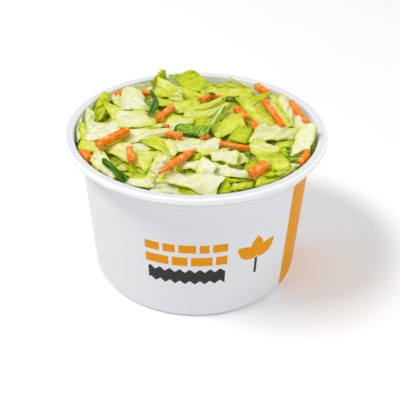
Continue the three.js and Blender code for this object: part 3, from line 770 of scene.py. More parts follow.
def lathe_tree(material):
    """Turns a closed section round the cup's axis, with the side seam's step in the board."""
    inputs = (
        ("Radius", "NodeSocketFloat"), ("Segments", "NodeSocketInt"),
        ("Seam angle", "NodeSocketFloat"), ("Seam width", "NodeSocketFloat"),
        ("Seam step", "NodeSocketFloat"),
    )
    tree = ShapeTree("lathe", inputs)
    section = tree.add("GeometryNodeMeshToCurve", None, tree.input("Geometry"))
    circle = tree.add("GeometryNodeCurvePrimitiveCircle", sockets={
        "Resolution": tree.input("Segments"), "Radius": tree.input("Radius"),
    })
    turned = tree.add("GeometryNodeCurveToMesh", None, circle, section)
    x, y, z = tree.split(tree.add("GeometryNodeInputPosition"))
    radius, angle = round_axis(x, y)
    across = (angle - tree.input("Seam angle")) * radius
    half = tree.input("Seam width") * 0.5
    cliff = ((across + half) / (half * SEAM_CLIFF)).clamp()
    slope = ((half - across) / (half * SEAM_SLOPE)).clamp()
    outer = radius > (BAND_FOOT_RADIUS + 1) * MM
    step = cliff * slope * tree.input("Seam step")
    lift = step * (z > (CUP_HEIGHT - BOARD) * MM) * outer
    grow = step * outer / radius
    offset = tree.join(x * grow, y * grow, lift)
    moved = tree.add("GeometryNodeSetPosition", sockets={"Geometry": turned, "Offset": offset})
    return tree.finish(moved, material)


# ---- Heap ----

def random_source(seed):
    """Seeded random numbers in 0..1, the same in every program that follows this rule."""
    state = seed
    mask = 0xFFFFFFFF
    while True:
        state = (state + 0x6D2B79F5) & mask
        t = state
        t = ((t ^ (t >> 15)) * (t | 1)) & mask
        t ^= (t + (((t ^ (t >> 7)) * (t | 61)) & mask)) & mask
        yield ((t ^ (t >> 14)) & mask) / (mask + 1)


def drawn(draw, low, high):
    """The next random value from a source, between two bounds."""
    return low + (high - low) * next(draw)


def room_radius(z):
    """Largest radius that salad may reach at a height, clear of the cup's inside."""
    band = BAND_FOOT_RADIUS - BOARD - ROOM_MARGIN
    wall = wall_radius(np.clip(z, FOOT_ROUND, LEDGE_Z)) - BOARD - ROOM_MARGIN
    up = np.clip((z - LEDGE_Z - 1) / (BAND_FOOT_Z - LEDGE_Z), 0, 1)
    return wall + (band - wall) * up


def heap_top(x, y):
    """Height of the smooth dome that the heap follows."""
    r = np.minimum(np.hypot(x, y) / BAND_FOOT_RADIUS, 1)
    top = CUP_HEIGHT + HEAP_EDGE + HEAP_CROWN * (1 - r * r)
    for dip_x, dip_y, depth, spread in HEAP_DIPS:
        top = top - depth * np.exp(-((x - dip_x) ** 2 + (y - dip_y) ** 2) / spread)
    return top


def core_top(x, y):
    """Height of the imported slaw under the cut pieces, with wide waves and small lumps."""
    waves = 0.7 * np.sin(0.45 * x + 1) * np.sin(0.5 * y + 0.3 * x)
    lumps = 0.5 * np.sin(0.9 * x + 0.5 * y) * np.sin(0.8 * y - 0.4 * x + 2)
    return heap_top(x, y) - CORE_DEPTH + waves + lumps


@dataclass
class Piece:
    """One cut piece, with lengths in millimetres."""
    kind: str
    corners: tuple  # x and y of each corner in turn, or of a stick's ends, as seen on the level SIGHT_Z
    tone: float = 0.0
    fade: float = 0.0  # change of tone from the first end to the second
    rise: float = 0.0  # the second end lies this much higher than the first
    tilt: float = 0.0  # the side of the last two corners lies this much higher
    bow: float = 0.0  # bulge along the piece
    cup: float = 0.0  # bulge across it
    curve: float = 0.0  # sideways sweep of its middle
    rounded: float = 0.0  # 0 has square corners, 1 is an oval
    z: float = 0.0  # height of the middle of a standing piece
    lift: float = 0.0  # height above what it rests on
    width: float = 0.0  # of a stick
    phase: float = 0.0  # start of its waves, drawn for each piece
    filler: bool = False

    @property
    def thick(self):
        if self.kind == "stick":
            return self.width
        return RIB_THICK if self.kind == "rib" else LEAF_THICK

    def sizes(self):
        """Length and width in the middle."""
        a, b, c, d = np.reshape(self.quad(), (4, 2))
        return np.hypot(*(b + c - a - d)) / 2, np.hypot(*(c + d - a - b)) / 2

    def grow(self, distance):
        """Moves every side out by a distance."""
        corners = np.reshape(self.corners, (4, 2))
        along = corners[1] + corners[2] - corners[0] - corners[3]
        across = corners[2] + corners[3] - corners[0] - corners[1]
        along *= distance / np.hypot(*along)
        across *= distance / np.hypot(*across)
        signs = np.array(((-1, -1), (1, -1), (1, 1), (-1, 1)))
        self.corners = tuple((corners + signs @ np.stack((along, across))).ravel())

    def quad(self):
        """The corners of a sheet, or a stick's outline."""
        if self.kind != "stick":
            return self.corners
        ax, ay, bx, by = self.corners
        half = self.width / 2 / math.hypot(bx - ax, by - ay)
        nx, ny = (ay - by) * half, (bx - ax) * half
        return (ax - nx, ay - ny, bx - nx, by - ny, bx + nx, by + ny, ax + nx, ay + ny)


def maker(kind):
    """A function that makes pieces of one kind from their corners."""
    def make(*corners, **values):
        return Piece(kind, corners, **values)
    return make


leaf = maker("leaf")
rib = maker("rib")
herb = maker("herb")
pepper = maker("pepper")
stick = maker("stick")


def shown_pieces():
    """Pieces that show, from the bottom of the heap to its top."""
    pieces = (
        # back of the cup
        leaf(-28.5, 22, -17, 22, -18.5, 35, -28.7, 31, tone=0, tilt=5, z=55.5),
        leaf(-19.8, 32.5, -15.3, 48.4, -13.8, 48.4, -11.8, 36, tone=0.5, rise=6, z=60, cup=0.3),
        leaf(11.5, 31, 22, 27, 20, 33, 13.8, 41.8, tone=0.02, tilt=5, z=57.5),
        leaf(-2, 22, 7.4, 33, -1.9, 46.4, -11.5, 41, tone=0.66, rise=-0.5, tilt=5, z=60.5, bow=0.6),
        leaf(5.5, 28.5, 24, 24, 19.5, 33, 6.3, 34, tone=0.48, tilt=3, z=59, bow=0.8),
        leaf(5.5, 23.5, 22, 21.5, 22, 27, 6, 29, tone=0.46),
        leaf(-17, 23.8, -2.3, 14.5, 4.2, 22, -16, 40, tone=0.5, tilt=4, rise=-1, z=59.6, cup=0.5),
        leaf(1.5, 21, 4, 22, 3.8, 28.5, 1.8, 28, tone=0.5, tilt=1.5, z=60.5),
        stick(-35.6, 24, -17.7, 24.8, width=2.2, lift=0.4),
        stick(2.2, 18.6, 6.4, 23.6, width=2.2),
        stick(5.5, 23.8, 11.8, 20.2, width=1.7, lift=0.4),
        herb(4.8, 22.4, 7.4, 21.2, 7.6, 22.6, 5.2, 24, tone=0.9, lift=0.8),
        # left wall
        leaf(-41.5, 3, -41.9, 14, -39.3, 18, -39, 3, tone=0.1, rise=4, z=56.5),
        leaf(-38.8, 0, -39.4, 24.5, -34, 26.6, -35, 1, tone=0.64, rise=7, cup=-0.5, z=57.8, rounded=0.75),
        leaf(-40.3, -9, -42.6, 12.8, -38.4, 6, -37.8, -5, tone=0.08, rise=5, z=57, cup=0.5),
        leaf(-42.6, -14, -44.8, 2, -43, 2.5, -41, -13, tone=0.05, rise=2, z=57),
        leaf(-40.8, -16, -43.2, -1.6, -41, -2.4, -38.5, -15, tone=0.42, rise=2.5, z=57.6, cup=0.6),
        leaf(-29.3, 0, -22, 4, -27, 14, -34.6, 13.3, tone=0.36, tilt=1),
        leaf(-36.2, 21.3, -28.5, 11.5, -28.5, 19, -35.5, 22.4, tone=0.28),
        leaf(-38.6, -14.6, -28.5, -9, -29.3, -0.8, -38.4, -1, tone=0.12, cup=0.6),
        leaf(-28.6, 9.5, -17.6, 8.5, -23.6, 26.8, -28.9, 26.8, tone=0.22, tilt=4, rounded=0.3, bow=1.4),
        # middle of the back
        leaf(-16.5, 14.3, -2.6, 12.5, -2.5, 16, -15.5, 19.5, tone=0.52),
        leaf(-11.2, 19, -5, 17, -5.8, 29, -7.4, 30, tone=0.3, tilt=4, z=60.8),
        leaf(-8.8, 10, 10, 16, 10.5, 21, -8, 14.5, tone=0.44, curve=-4, tilt=1.6, cup=0.8),
        leaf(-4, 4.5, 10.8, 9.5, 11.5, 15, -3, 9.5, tone=0.37, curve=-3, tilt=1.6, cup=0.8),
        leaf(-9, -1.5, 4, -2, 3, 2.5, -8.5, 6, tone=0.7, tilt=1),
        leaf(-15.5, -3.5, -3, -3, -2, 2, -8.5, 4.5, tone=0.32),
        herb(10, 15.6, 13.4, 19.8, 13.8, 20.9, 10.2, 17.3, tone=0.53, cup=0.4),
        herb(14.3, 20.6, 17.1, 22.4, 17.3, 23.4, 14.5, 21.6, tone=0.9),
        # right wall
        stick(24.8, 32.8, 31.2, 18.8, width=2.9, rise=-1.5, z=60.3),
        leaf(40.2, -20, 43.4, -7, 44.8, -6.5, 42, -19, tone=0.4, rise=2, z=56.5),
        leaf(33.2, -2.5, 32.8, 9.5, 35, 6, 36, -2.5, tone=0.35, rise=1, z=58.5),
        leaf(36.2, -4.5, 31.4, 18.5, 35.2, 26.8, 39.6, -1, tone=0.22, rise=5, z=59.2, cup=0.4, fade=0.08),
        stick(37.5, 18, 41.4, -1, width=2.2, rise=-2.4, z=59.3),
        leaf(37.6, -2, 38.5, 3.2, 41.5, 3, 41.5, -2.5, tone=0.12),
        leaf(21, 12, 29.6, 22.2, 30.2, 27.2, 18.2, 18, tone=0.75, tilt=1, bow=0.8, rise=1, z=61.2),
        leaf(30.2, -2.5, 28.5, 19.5, 31, 19.5, 34, -2.5, tone=0.42, rise=1, tilt=-0.8),
        leaf(20.8, 12.8, 27.8, -2.2, 30, -2, 24.5, 14.6, tone=0.38, tilt=1.2),
        leaf(16.8, 20.5, 23.4, -1.8, 25.8, 0.4, 19.4, 20, tone=0.48, tilt=1.2, cup=0.4),
        stick(26.9, 19.2, 32.2, -2.6, width=2.3, lift=0.6),
        stick(15.6, 11.4, 18.8, 3.2, width=2.9),
        stick(21.6, 0, 22.6, -6.6, width=3.1, lift=0.2),
        # right front
        leaf(28.5, -17.5, 33, -17, 35.5, -9.5, 29.5, -13, tone=0.55),
        leaf(27, -22.4, 31.4, -22.8, 30.8, -18.6, 27, -19.2, tone=0.72),
        leaf(19.8, -12.8, 34.6, -11.6, 38, -4, 24, -2.4, tone=0.25, cup=0.8),
        leaf(17.8, -21, 26, -26, 29.6, -19, 21.6, -13.4, tone=0.36, rounded=0.8, cup=1.6),
        # dark olive tone: painted shade on this leaf
        leaf(16.3, -33.6, 21, -31, 21, -26.5, 18.2, -27.3, tone=0.74),
        leaf(19, -45.4, 36.2, -32.8, 33.4, -29.4, 20.3, -37.4, tone=0.48, tilt=0.4, z=58.2),
        leaf(27.8, -36.4, 37.2, -30.6, 33, -28, 28.6, -31, tone=0.3, tilt=0.4, z=58.7),
        leaf(22.5, -30, 34, -30, 29, -24.2, 21.2, -24.2, tone=0.55, cup=0.5),
        herb(34.3, -28.4, 36.8, -27, 37.2, -23.8, 30.8, -23.5, tone=0.5, z=58.4),
        leaf(23.3, -35.8, 29.6, -34.6, 29.2, -31, 25.4, -31, tone=0.5),
        leaf(26, -32.8, 30.6, -32.6, 30.4, -29, 25.8, -28.4, tone=0.45, cup=1.6, lift=0.4, rounded=0.5),
        rib(32.2, -24, 39.4, -1.4, 45, -0.8, 40.3, -20, tone=0.1, rise=3.5, tilt=2.5, z=59.6, cup=0.8),
        stick(35.6, -28.6, 40.2, -20.8, width=2.0, rise=1, z=58.8),
        # left front
        leaf(-40.6, -19.8, -34.6, -21.8, -35.4, -15.8, -39.9, -14.6, tone=0.45, cup=0.8),
        stick(-39.7, -21.6, -36, -26.8, width=2.7, lift=0.4),
        rib(-35.2, -29, -27.4, -39, -25.4, -36.8, -34.3, -18, tone=0.1, cup=0.6),
        leaf(-32.2, -19.6, -15.4, -37, -14.6, -30, -22.4, -17.4, tone=0.28, cup=1.2),
        # dark olive tone: painted shade on this leaf
        leaf(-20.6, -39.8, -15.4, -39.8, -15.8, -36, -20.2, -35.6, tone=0.75),
        leaf(-21, -29, -17, -33.4, -13, -21.3, -20.5, -21.3, tone=0.38, cup=0.6),
        leaf(-29.6, -17.9, -9.5, -10, -8.2, -3.8, -24.3, -7, tone=0.24, tilt=1.2, cup=0.6),
        leaf(-28.3, -4.4, -14.8, -2.3, -14, 6.5, -30, 8, tone=0.27, cup=1.5, fade=0.08),
        leaf(-19.7, -13.6, -7.6, -25.8, -9.6, -12.8, -14, -11, tone=0.45, fade=-0.25, tilt=0.8),
        leaf(-14.6, -25.2, -10.2, -24.8, -11, -22.4, -13, -21.5, tone=0.35),
        leaf(-15.7, -37.8, -13.2, -25, -8.8, -25, -10.6, -36.2, tone=0.12, cup=0.5),
        leaf(-11.5, -12.8, -7.6, -25.4, -6, -19, -6.2, -14.2, tone=0.25),
        # front
        leaf(-6.5, -21, 7.5, -20.8, 8.4, -12.4, -6.6, -12, tone=0.13, cup=0.5),
        leaf(0.5, -23.6, 10.8, -22.4, 11, -19, 2, -20, tone=0.3),
        # dark olive tone: painted shade on this leaf
        leaf(-4.4, -27, 1.6, -26.6, 1.2, -22.4, -1.6, -23.4, tone=0.8),
        leaf(-5.8, -32.6, 0.6, -32, 1.6, -27.8, -5.6, -27.6, tone=0.02, cup=0.6),
        leaf(14.3, -29.2, 17.6, -27.5, 18, -22.4, 14.4, -21.5, tone=0.28),
        leaf(5.8, -26.4, 13.6, -28.6, 14.4, -20.8, 5.4, -21.3, tone=0.1, cup=0.5),
        leaf(9.6, -40.6, 17.6, -39.6, 17.2, -37.6, 9.4, -37.8, tone=0.6),
        leaf(5.4, -35.8, 18.4, -38, 16.6, -33.4, 6.4, -29.4, tone=0.13, cup=0.5),
        leaf(0.2, -33.8, 5.2, -36, 7.2, -30, 2.4, -24.8, tone=0.1, cup=0.4),
        leaf(7, -47.4, 11.2, -46.6, 11, -39.8, 9.6, -39.2, tone=0.8),
        leaf(11.2, -45, 18.3, -43.6, 18.4, -40.4, 12.4, -41.6, tone=0.5, cup=0.8, fade=0.1),
        leaf(-14.6, -45.8, -8.8, -47.2, -9.4, -43.8, -13, -43.2, tone=0),
        leaf(-22.8, -42.3, -9.5, -45.2, -9, -39.6, -22.5, -38.8, tone=0.1, rounded=0.5, cup=0.6),
        leaf(-12.2, -46.2, -4.3, -47.8, -5.4, -41.4, -8.2, -40.8, tone=0.1),
        leaf(-4.4, -47.8, 3.6, -48.2, 1, -42.8, -5.2, -41.8, tone=0.62),
        leaf(-13.9, -39.9, 5.9, -47.9, 9.4, -38.3, -10.8, -33.6, tone=0.16, cup=0.9, lift=0.3),
        # on top
        stick(-10.6, -8.4, -5.2, -10.2, width=2.2),
        stick(-12, -1.8, -10.2, -2.8, width=1.1),
        stick(2.2, -10.6, 4.4, -9.8, width=1.8),
        leaf(2, -3.6, 8.6, 1, 12.6, 9, 7, 6, tone=0.55),
        leaf(7.2, -12.4, 19.3, -4, 14.2, 7.8, 5.4, -3, tone=0.5, cup=0.6, lift=0.2),
        leaf(11.4, -12.2, 18, -15.2, 20.9, -5.4, 16, -1.8, tone=0.8, cup=0.8, lift=0.2),
        pepper(-8.3, -8.2, 5, -12.2, 5.6, -2.8, -6.6, -1.8, tone=0.7, cup=1.6, rounded=0.5, lift=0.4),
        herb(0.6, -11.4, 10.2, 13.4, 11.6, 12.4, 4.2, -7.2, tone=0.05, lift=0.8, cup=0.4),
        stick(-14.3, 2.6, -9, 13, width=2.4, lift=0.4),
        herb(-19.4, 6.2, -19.3, 25.4, -18.3, 26.3, -16.2, 7, tone=0.95, curve=2.3, rounded=0.4, lift=1),
        herb(-20.8, 19.4, -18.3, 14.4, -18, 15.4, -20.3, 20.2, tone=0.9, lift=0.3),
        stick(-34.9, -17.4, -24.9, -5.9, width=2.7, lift=0.5),
        stick(-23.3, -19, -21.7, -28, width=2.5, lift=0.4),
        herb(-32.4, -27.4, -24, -41.6, -20.6, -39.2, -31.4, -26, tone=0.95, cup=0.8, lift=0.3,
             rounded=0.55),
        stick(-12.4, -35.2, 0.2, -18.8, width=2.4, lift=0.4, rounded=0.75),
        stick(8.4, -15, 18.8, -18.8, width=1.9, lift=0.4),
        herb(16.8, -21.8, 18.2, -24, 19, -21.4, 18, -20, tone=0.6),
        stick(18.5, -35.4, 23.9, -29.2, width=3.3, lift=0.4),
    )
    draw = random_source(SEED)
    for place, piece in enumerate(pieces):
        piece.phase = drawn(draw, 0, 2 * math.pi)
        if piece.kind in ("leaf", "rib") and not piece.z:
            piece.grow(MOST_GROWTH * (1 - place / len(pieces)))
    return pieces


def filler_pieces(count):
    """Leaves under the shown ones, spread over the heap by the golden angle."""
    draw = random_source(SEED + 1)
    pieces = []
    for i in range(count):
        r = FILLER_RADIUS * math.sqrt((i + 0.5) / count)
        x = r * math.cos(GOLDEN_ANGLE * i)
        y = r * math.sin(GOLDEN_ANGLE * i) + FILLER_MIDDLE_Y
        yaw = drawn(draw, 0, 2 * math.pi)
        along = drawn(draw, *FILLER_HALF_LENGTH) * np.array((math.cos(yaw), math.sin(yaw)))
        across = drawn(draw, *FILLER_HALF_WIDTH) * np.array((-math.sin(yaw), math.cos(yaw)))
        near = across * drawn(draw, *FILLER_TAPER)
        corners = np.array((x, y)) + (-along - across, along - near, along + near, -along + across)
        pieces.append(leaf(
            *corners.ravel(),
            tone=drawn(draw, *FILLER_TONE),
            rise=drawn(draw, -2, 2),
            tilt=drawn(draw, -1.5, 1.5),
            bow=drawn(draw, -1.5, 1.5),
            cup=drawn(draw, -1, 1),
            phase=drawn(draw, 0, 2 * math.pi),
            filler=True,
        ))
    return pieces


class HeightField:
    """Top of everything laid so far, on a square grid."""

    def __init__(self):
        axis = np.arange(-FIELD_HALF, FIELD_HALF + FIELD_CELL / 2, FIELD_CELL)
        x, y = np.meshgrid(axis, axis, indexing="ij")
        self.last = len(axis) - 1
        self.z = heap_top(x, y) - FILLER_DEPTH

    def index(self, x, y):
        """Row and column of the nearest cell."""
        i = np.clip(np.rint((x + FIELD_HALF) / FIELD_CELL).astype(int), 0, self.last)
        j = np.clip(np.rint((y + FIELD_HALF) / FIELD_CELL).astype(int), 0, self.last)
        return i, j

    def get(self, x, y):
        return self.z[self.index(x, y)]

    def raise_to(self, points):
        np.maximum.at(self.z, self.index(points[..., 0], points[..., 1]), points[..., 2])

    def cover(self, points, above):
        """Raises the field to a surface, at places close enough to leave no cell out."""
        shares = np.linspace(0, 1, COVER_STEPS, endpoint=False)
        for a in shares:
            for b in shares:
                between = (
                    (points[:-1, :-1] * (1 - a) + points[1:, :-1] * a) * (1 - b)
                    + (points[:-1, 1:] * (1 - a) + points[1:, 1:] * a) * b
                )
                self.raise_to(between + (0, 0, above))

    def plane(self, points):
        """Slopes in x and y of the plane that fits the field best under some points."""
        x = points[..., 0] - points[..., 0].mean()
        y = points[..., 1] - points[..., 1].mean()
        z = self.get(points[..., 0], points[..., 1])
        xx, xy, yy = (x * x).sum(), (x * y).sum(), (y * y).sum()
        det = xx * yy - xy * xy + 1e-6 * xx * yy
        xz, yz = (x * z).sum(), (y * z).sum()
        return np.clip(((yy * xz - xy * yz) / det, (xx * yz - xy * xz) / det), -STEEPEST, STEEPEST)


def in_sight(x, y, z):
    """The place at height z that is seen from EYE at (x, y) on the level SIGHT_Z."""
    share = (EYE[2] - z) / (EYE[2] - SIGHT_Z)
    return np.stack((EYE[0] + (x - EYE[0]) * share, EYE[1] + (y - EYE[1]) * share, z), axis=-1)


def blend(quad, s, t):
    """A place on a quad with sides at s and t of -1 and 1."""
    a, b, c, d = np.reshape(quad, (4, 2))
    near = (1 - t)[..., None] / 2
    first, second = (1 - s)[..., None] / 2, (1 + s)[..., None] / 2
    return near * (first * a + second * b) + (1 - near) * (first * d + second * c)


def within_corners(piece, s, t):
    """Shares of a piece's length and width, with its corners rounded and its cut edges rough."""
    phase = piece.phase
    u = s * np.sqrt(1 - piece.rounded * t * t / 2)
    v = t * np.sqrt(1 - piece.rounded * s * s / 2)
    if piece.kind != "stick":
        rough = 0.05 * np.sin(4.1 * s + phase * (2 + np.sign(t))) + 0.025 * np.sin(11 * s + 3 * phase)
        v = v * (1 + rough * np.abs(t))
        u = u * (1 + 0.03 * np.sin(3.7 * t + 2.3 * phase) * s * s)
    return u, v


def ripples(piece, s, across):
    """Height of the wide waves and fine creases on a leaf."""
    phase = piece.phase
    length, _ = piece.sizes()
    waves = min(0.05 * length, 0.8) * np.sin(2.6 * s + phase) * np.cos(1.7 * across + phase)
    creases = 0.28 * np.sin(8.5 * s + 2 * across + phase) * np.sin(4.3 * across - 1.4 * s + 2 * phase)
    return waves + creases


def piece_surface(piece, s, t, height, slope):
    """Middle surface of a piece whose middle is at a height, on a bed with slopes in x and y."""
    u, v = within_corners(piece, s, t)
    place = blend(piece.quad(), u, v)
    middle = blend(piece.quad(), np.zeros(1), np.zeros(1))[0]
    sweep = piece.curve * (1 - u * u)
    side = np.subtract(piece.quad()[6:], piece.quad()[:2])
    place = place + sweep[..., None] * side / np.hypot(*side)
    z = height + (piece.rise * u + piece.tilt * v) / 2 + (place - middle) @ slope
    points = in_sight(place[..., 0], place[..., 1], z)
    if piece.kind == "stick":
        return points
    normal = np.cross(points[-1, 0] - points[0, 0], points[0, -1] - points[0, 0])
    normal = normal / np.linalg.norm(normal)
    _, width = piece.sizes()
    first, second = np.hypot(*side), np.hypot(*np.subtract(piece.quad()[4:6], piece.quad()[2:4]))
    across = t * (first * (1 - s) + second * (1 + s)) / 2 / width
    bulge = piece.bow * (1 - u * u) + piece.cup * (1 - v * v) + ripples(piece, s, across)
    return points + bulge[..., None] * normal * np.sign(normal[2] + 1e-9)


def keep_inside(points, margin):
    """Moves points towards the axis where they would reach into the cup."""
    room = room_radius(points[..., 2]) - margin
    r = np.hypot(points[..., 0], points[..., 1])
    share = np.where(r > room, room / np.maximum(r, 1e-6), 1.0)
    points[..., 0] *= share
    points[..., 1] *= share
    return points


def spread(push, rounds):
    """Widens a push upwards into a smooth hump, as a stiff leaf bends."""
    wide = push
    for _ in range(rounds):
        padded = np.pad(wide, 1, mode="edge")
        mean = (
            padded[:-2, 1:-1] + padded[2:, 1:-1] + padded[1:-1, :-2] + padded[1:-1, 2:]
            + padded[:-2, :-2] + padded[2:, 2:] + padded[:-2, 2:] + padded[2:, :-2] + wide
        ) / 9
        wide = np.maximum(push, mean)
    return wide


def lay(piece, field):
    """Leans a piece on the heap, moves it along the sight until it rests and lets low parts drape."""
    length, width = piece.sizes()
    cell = FILLER_CELL if piece.filler else SHEET_CELL
    rows = max(6, round(length / cell))
    cols = max(4, round(width / cell))
    s, t = np.meshgrid(np.linspace(-1, 1, rows + 1), np.linspace(-1, 1, cols + 1), indexing="ij")
    if piece.z:
        points = piece_surface(piece, s, t, piece.z, np.zeros(2))
    else:
        x, y = piece.corners[0::2], piece.corners[1::2]
        height = heap_top(sum(x) / len(x), sum(y) / len(y))
        slope = np.zeros(2)
        for _ in range(3):
            points = piece_surface(piece, s, t, height, slope)
            slope = LEAN * field.plane(points)
            points = piece_surface(piece, s, t, height, slope)
            floor = field.get(points[..., 0], points[..., 1]) + piece.thick / 2
            clear = np.sort((floor - points[..., 2]).ravel())
            height += clear[int(len(clear) * REST_SHARE)] + piece.lift
        if piece.filler:  # it hangs just under the shown ones and drapes over the core
            top = heap_top(points[..., 0], points[..., 1])
            points[..., 2] += (top - FILLER_DEPTH - piece.thick / 2 - points[..., 2]).min()
            lowest = top - CORE_DEPTH + FILLER_CLEARANCE * piece.thick
            points[..., 2] = np.maximum(points[..., 2], lowest)
        elif piece.kind != "stick":
            push = np.clip(floor - FUSE - points[..., 2], 0, MOST_DRAPE)
            points[..., 2] += spread(push, 3)
    points = keep_inside(points, piece.thick / 2)
    if not piece.filler:
        field.cover(points, piece.thick / 2)
    return points


@functools.cache
def laid_heap(fillers):
    """Every piece with its laid middle surface, and the finished top of the heap."""
    field = HeightField()
    laid = [(piece, lay(piece, field)) for piece in (*filler_pieces(fillers), *shown_pieces())]
    return laid, field


def sheet_fields(piece, points, field, s, t):
    """What the materials read at each point of both sides of a sheet."""
    length, width = piece.sizes()
    inward = np.minimum((1 - np.abs(s)) * length, (1 - np.abs(t)) * width) / 2
    below = field.get(points[..., 0], points[..., 1]) - points[..., 2] - piece.thick / 2
    fields = {
        "tone": piece.tone + piece.fade * s + 0.06 * t * math.sin(piece.phase),
        "edge": np.clip(1 - inward / CUT_EDGE, 0, 1),
        # how far under the finished heap a point lies, which the leaf material paints as shade
        "buried": np.clip((below - BURIED_SHADE_FROM) / BURIED_SHADE_OVER, 0, 1),
        "rib": np.full(s.shape, 1.0 if piece.kind == "rib" else 0.0),
        "seed": np.full(s.shape, piece.phase / (2 * math.pi)),
    }
    return {key: np.tile(values.ravel(), 2) for key, values in fields.items()}


def sheet(piece, points, field):
    """A thin closed solid round a middle surface: its points, faces, attributes and map."""
    rows, cols = points.shape[:2]
    along = np.gradient(points, axis=0)
    across = np.gradient(points, axis=1)
    normal = np.cross(along, across)
    normal /= np.maximum(np.linalg.norm(normal, axis=-1, keepdims=True), 1e-9)
    s, t = np.meshgrid(np.linspace(-1, 1, rows), np.linspace(-1, 1, cols), indexing="ij")
    rim = np.maximum(np.abs(s) ** 12, np.abs(t) ** 6)
    half = piece.thick / 2 * (1 - EDGE_THINNING * rim)[..., None]
    top = keep_inside(points + normal * half, 0)
    under = keep_inside(points - normal * half, 0)
    count = rows * cols
    number = np.arange(count).reshape(rows, cols)
    faces = grid_faces(rows, cols)
    border = np.concatenate((number[:-1, 0], number[-1, :-1], number[:0:-1, -1], number[0, :0:-1]))
    following = np.roll(border, -1)
    walls = np.column_stack((border, border + count, following + count, following))
    faces = np.concatenate((faces, faces[:, ::-1] + count, walls))
    length, width = piece.sizes()
    flat = np.column_stack((s.ravel() * length / 2, t.ravel() * width / 2))
    solid = np.concatenate((top.reshape(-1, 3), under.reshape(-1, 3)))
    return solid, faces, sheet_fields(piece, points, field, s, t), np.tile(flat, (2, 1))


def joined_sheets(name, chosen, field, material):
    """One piece from many thin cut pieces."""
    points, faces, fields, maps = [], [], {}, []
    start = 0
    for piece, middle in chosen:
        solid, quads, values, flat = sheet(piece, middle, field)
        points.append(solid)
        faces.append(quads + start)
        maps.append(flat)
        for key, value in values.items():
            fields.setdefault(key, []).append(value)
        start += len(solid)
    mesh = plain_mesh(name, np.concatenate(points), np.concatenate(faces))
    mesh.set_sharp_from_angle(angle=CREASE_ANGLE)
    for key, values in fields.items():
        store(mesh, key, np.concatenate(values))
    store_map(mesh, "piece", np.concatenate(maps))
    return linked(name, mesh, material)


def stick_paths(chosen):
    """Polylines along the sticks, with each point's width and a bevel at both ends."""
    points, edges, widths, alongs, seeds = [], [], [], [], []
    for piece, middle in chosen:
        line = middle[:, middle.shape[1] // 2]
        length = np.linalg.norm(line[-1] - line[0])
        inset = STICK_BEVEL / length
        shares = np.concatenate(([0, inset], np.linspace(0.08, 0.92, 9), [1 - inset, 1]))
        source = np.linspace(0, 1, len(line))
        path = np.column_stack([np.interp(shares, source, line[:, k]) for k in range(3)])
        s = 2 * shares - 1
        width = piece.width * (1 - piece.rounded * s * s) * (1 + 0.05 * np.sin(5 * s + piece.phase))
        width[[0, -1]] *= STICK_END
        start = len(points)
        points.extend(path)
        edges.extend((start + i, start + i + 1) for i in range(len(path) - 1))
        widths.extend(width * MM)
        alongs.extend(shares * length)
        seeds.extend([piece.phase / (2 * math.pi)] * len(path))
    mesh = plain_mesh("stick_paths", points, np.zeros((0, 4), int), edges)
    store(mesh, "width", widths)
    store(mesh, "along", alongs)
    store(mesh, "seed", seeds)
    return mesh


def stick_tree(material):
    """Square-cut sticks with soft edges along paths."""
    inputs = (("Rounding", "NodeSocketFloat"), ("Unevenness", "NodeSocketFloat"))
    tree = ShapeTree("sticks", inputs)
    paths = tree.add("GeometryNodeMeshToCurve", None, tree.input("Geometry"))
    square = tree.add("GeometryNodeCurvePrimitiveQuadrilateral", sockets={
        "Width": 1.0, "Height": STICK_FLATNESS,
    })
    section = tree.add("GeometryNodeFilletCurve", {"mode": "POLY"}, square, sockets={
        "Count": 4, "Radius": tree.input("Rounding"),
    })
    factor = tree.add("GeometryNodeSplineParameter")
    settings = {"data_type": "FLOAT", "domain": "POINT"}
    section = tree.add("GeometryNodeStoreNamedAttribute", settings, sockets={
        "Geometry": section, "Name": "around", "Value": factor,
    })
    swept = tree.add("GeometryNodeCurveToMesh", sockets={
        "Curve": paths, "Profile Curve": section, "Scale": tree.field("width"), "Fill Caps": True,
    })
    wobble = tree.add("ShaderNodeTexNoise", sockets={"Scale": 420.0, "Detail": 2.0}, out="Color")
    centred = tree.vector("SUBTRACT", wobble, (0.5, 0.5, 0.5))
    offset = tree.vector("SCALE", centred, sockets={"Scale": tree.input("Unevenness")})
    uneven = tree.add("GeometryNodeSetPosition", sockets={"Geometry": swept, "Offset": offset})
    return tree.finish(uneven, material)


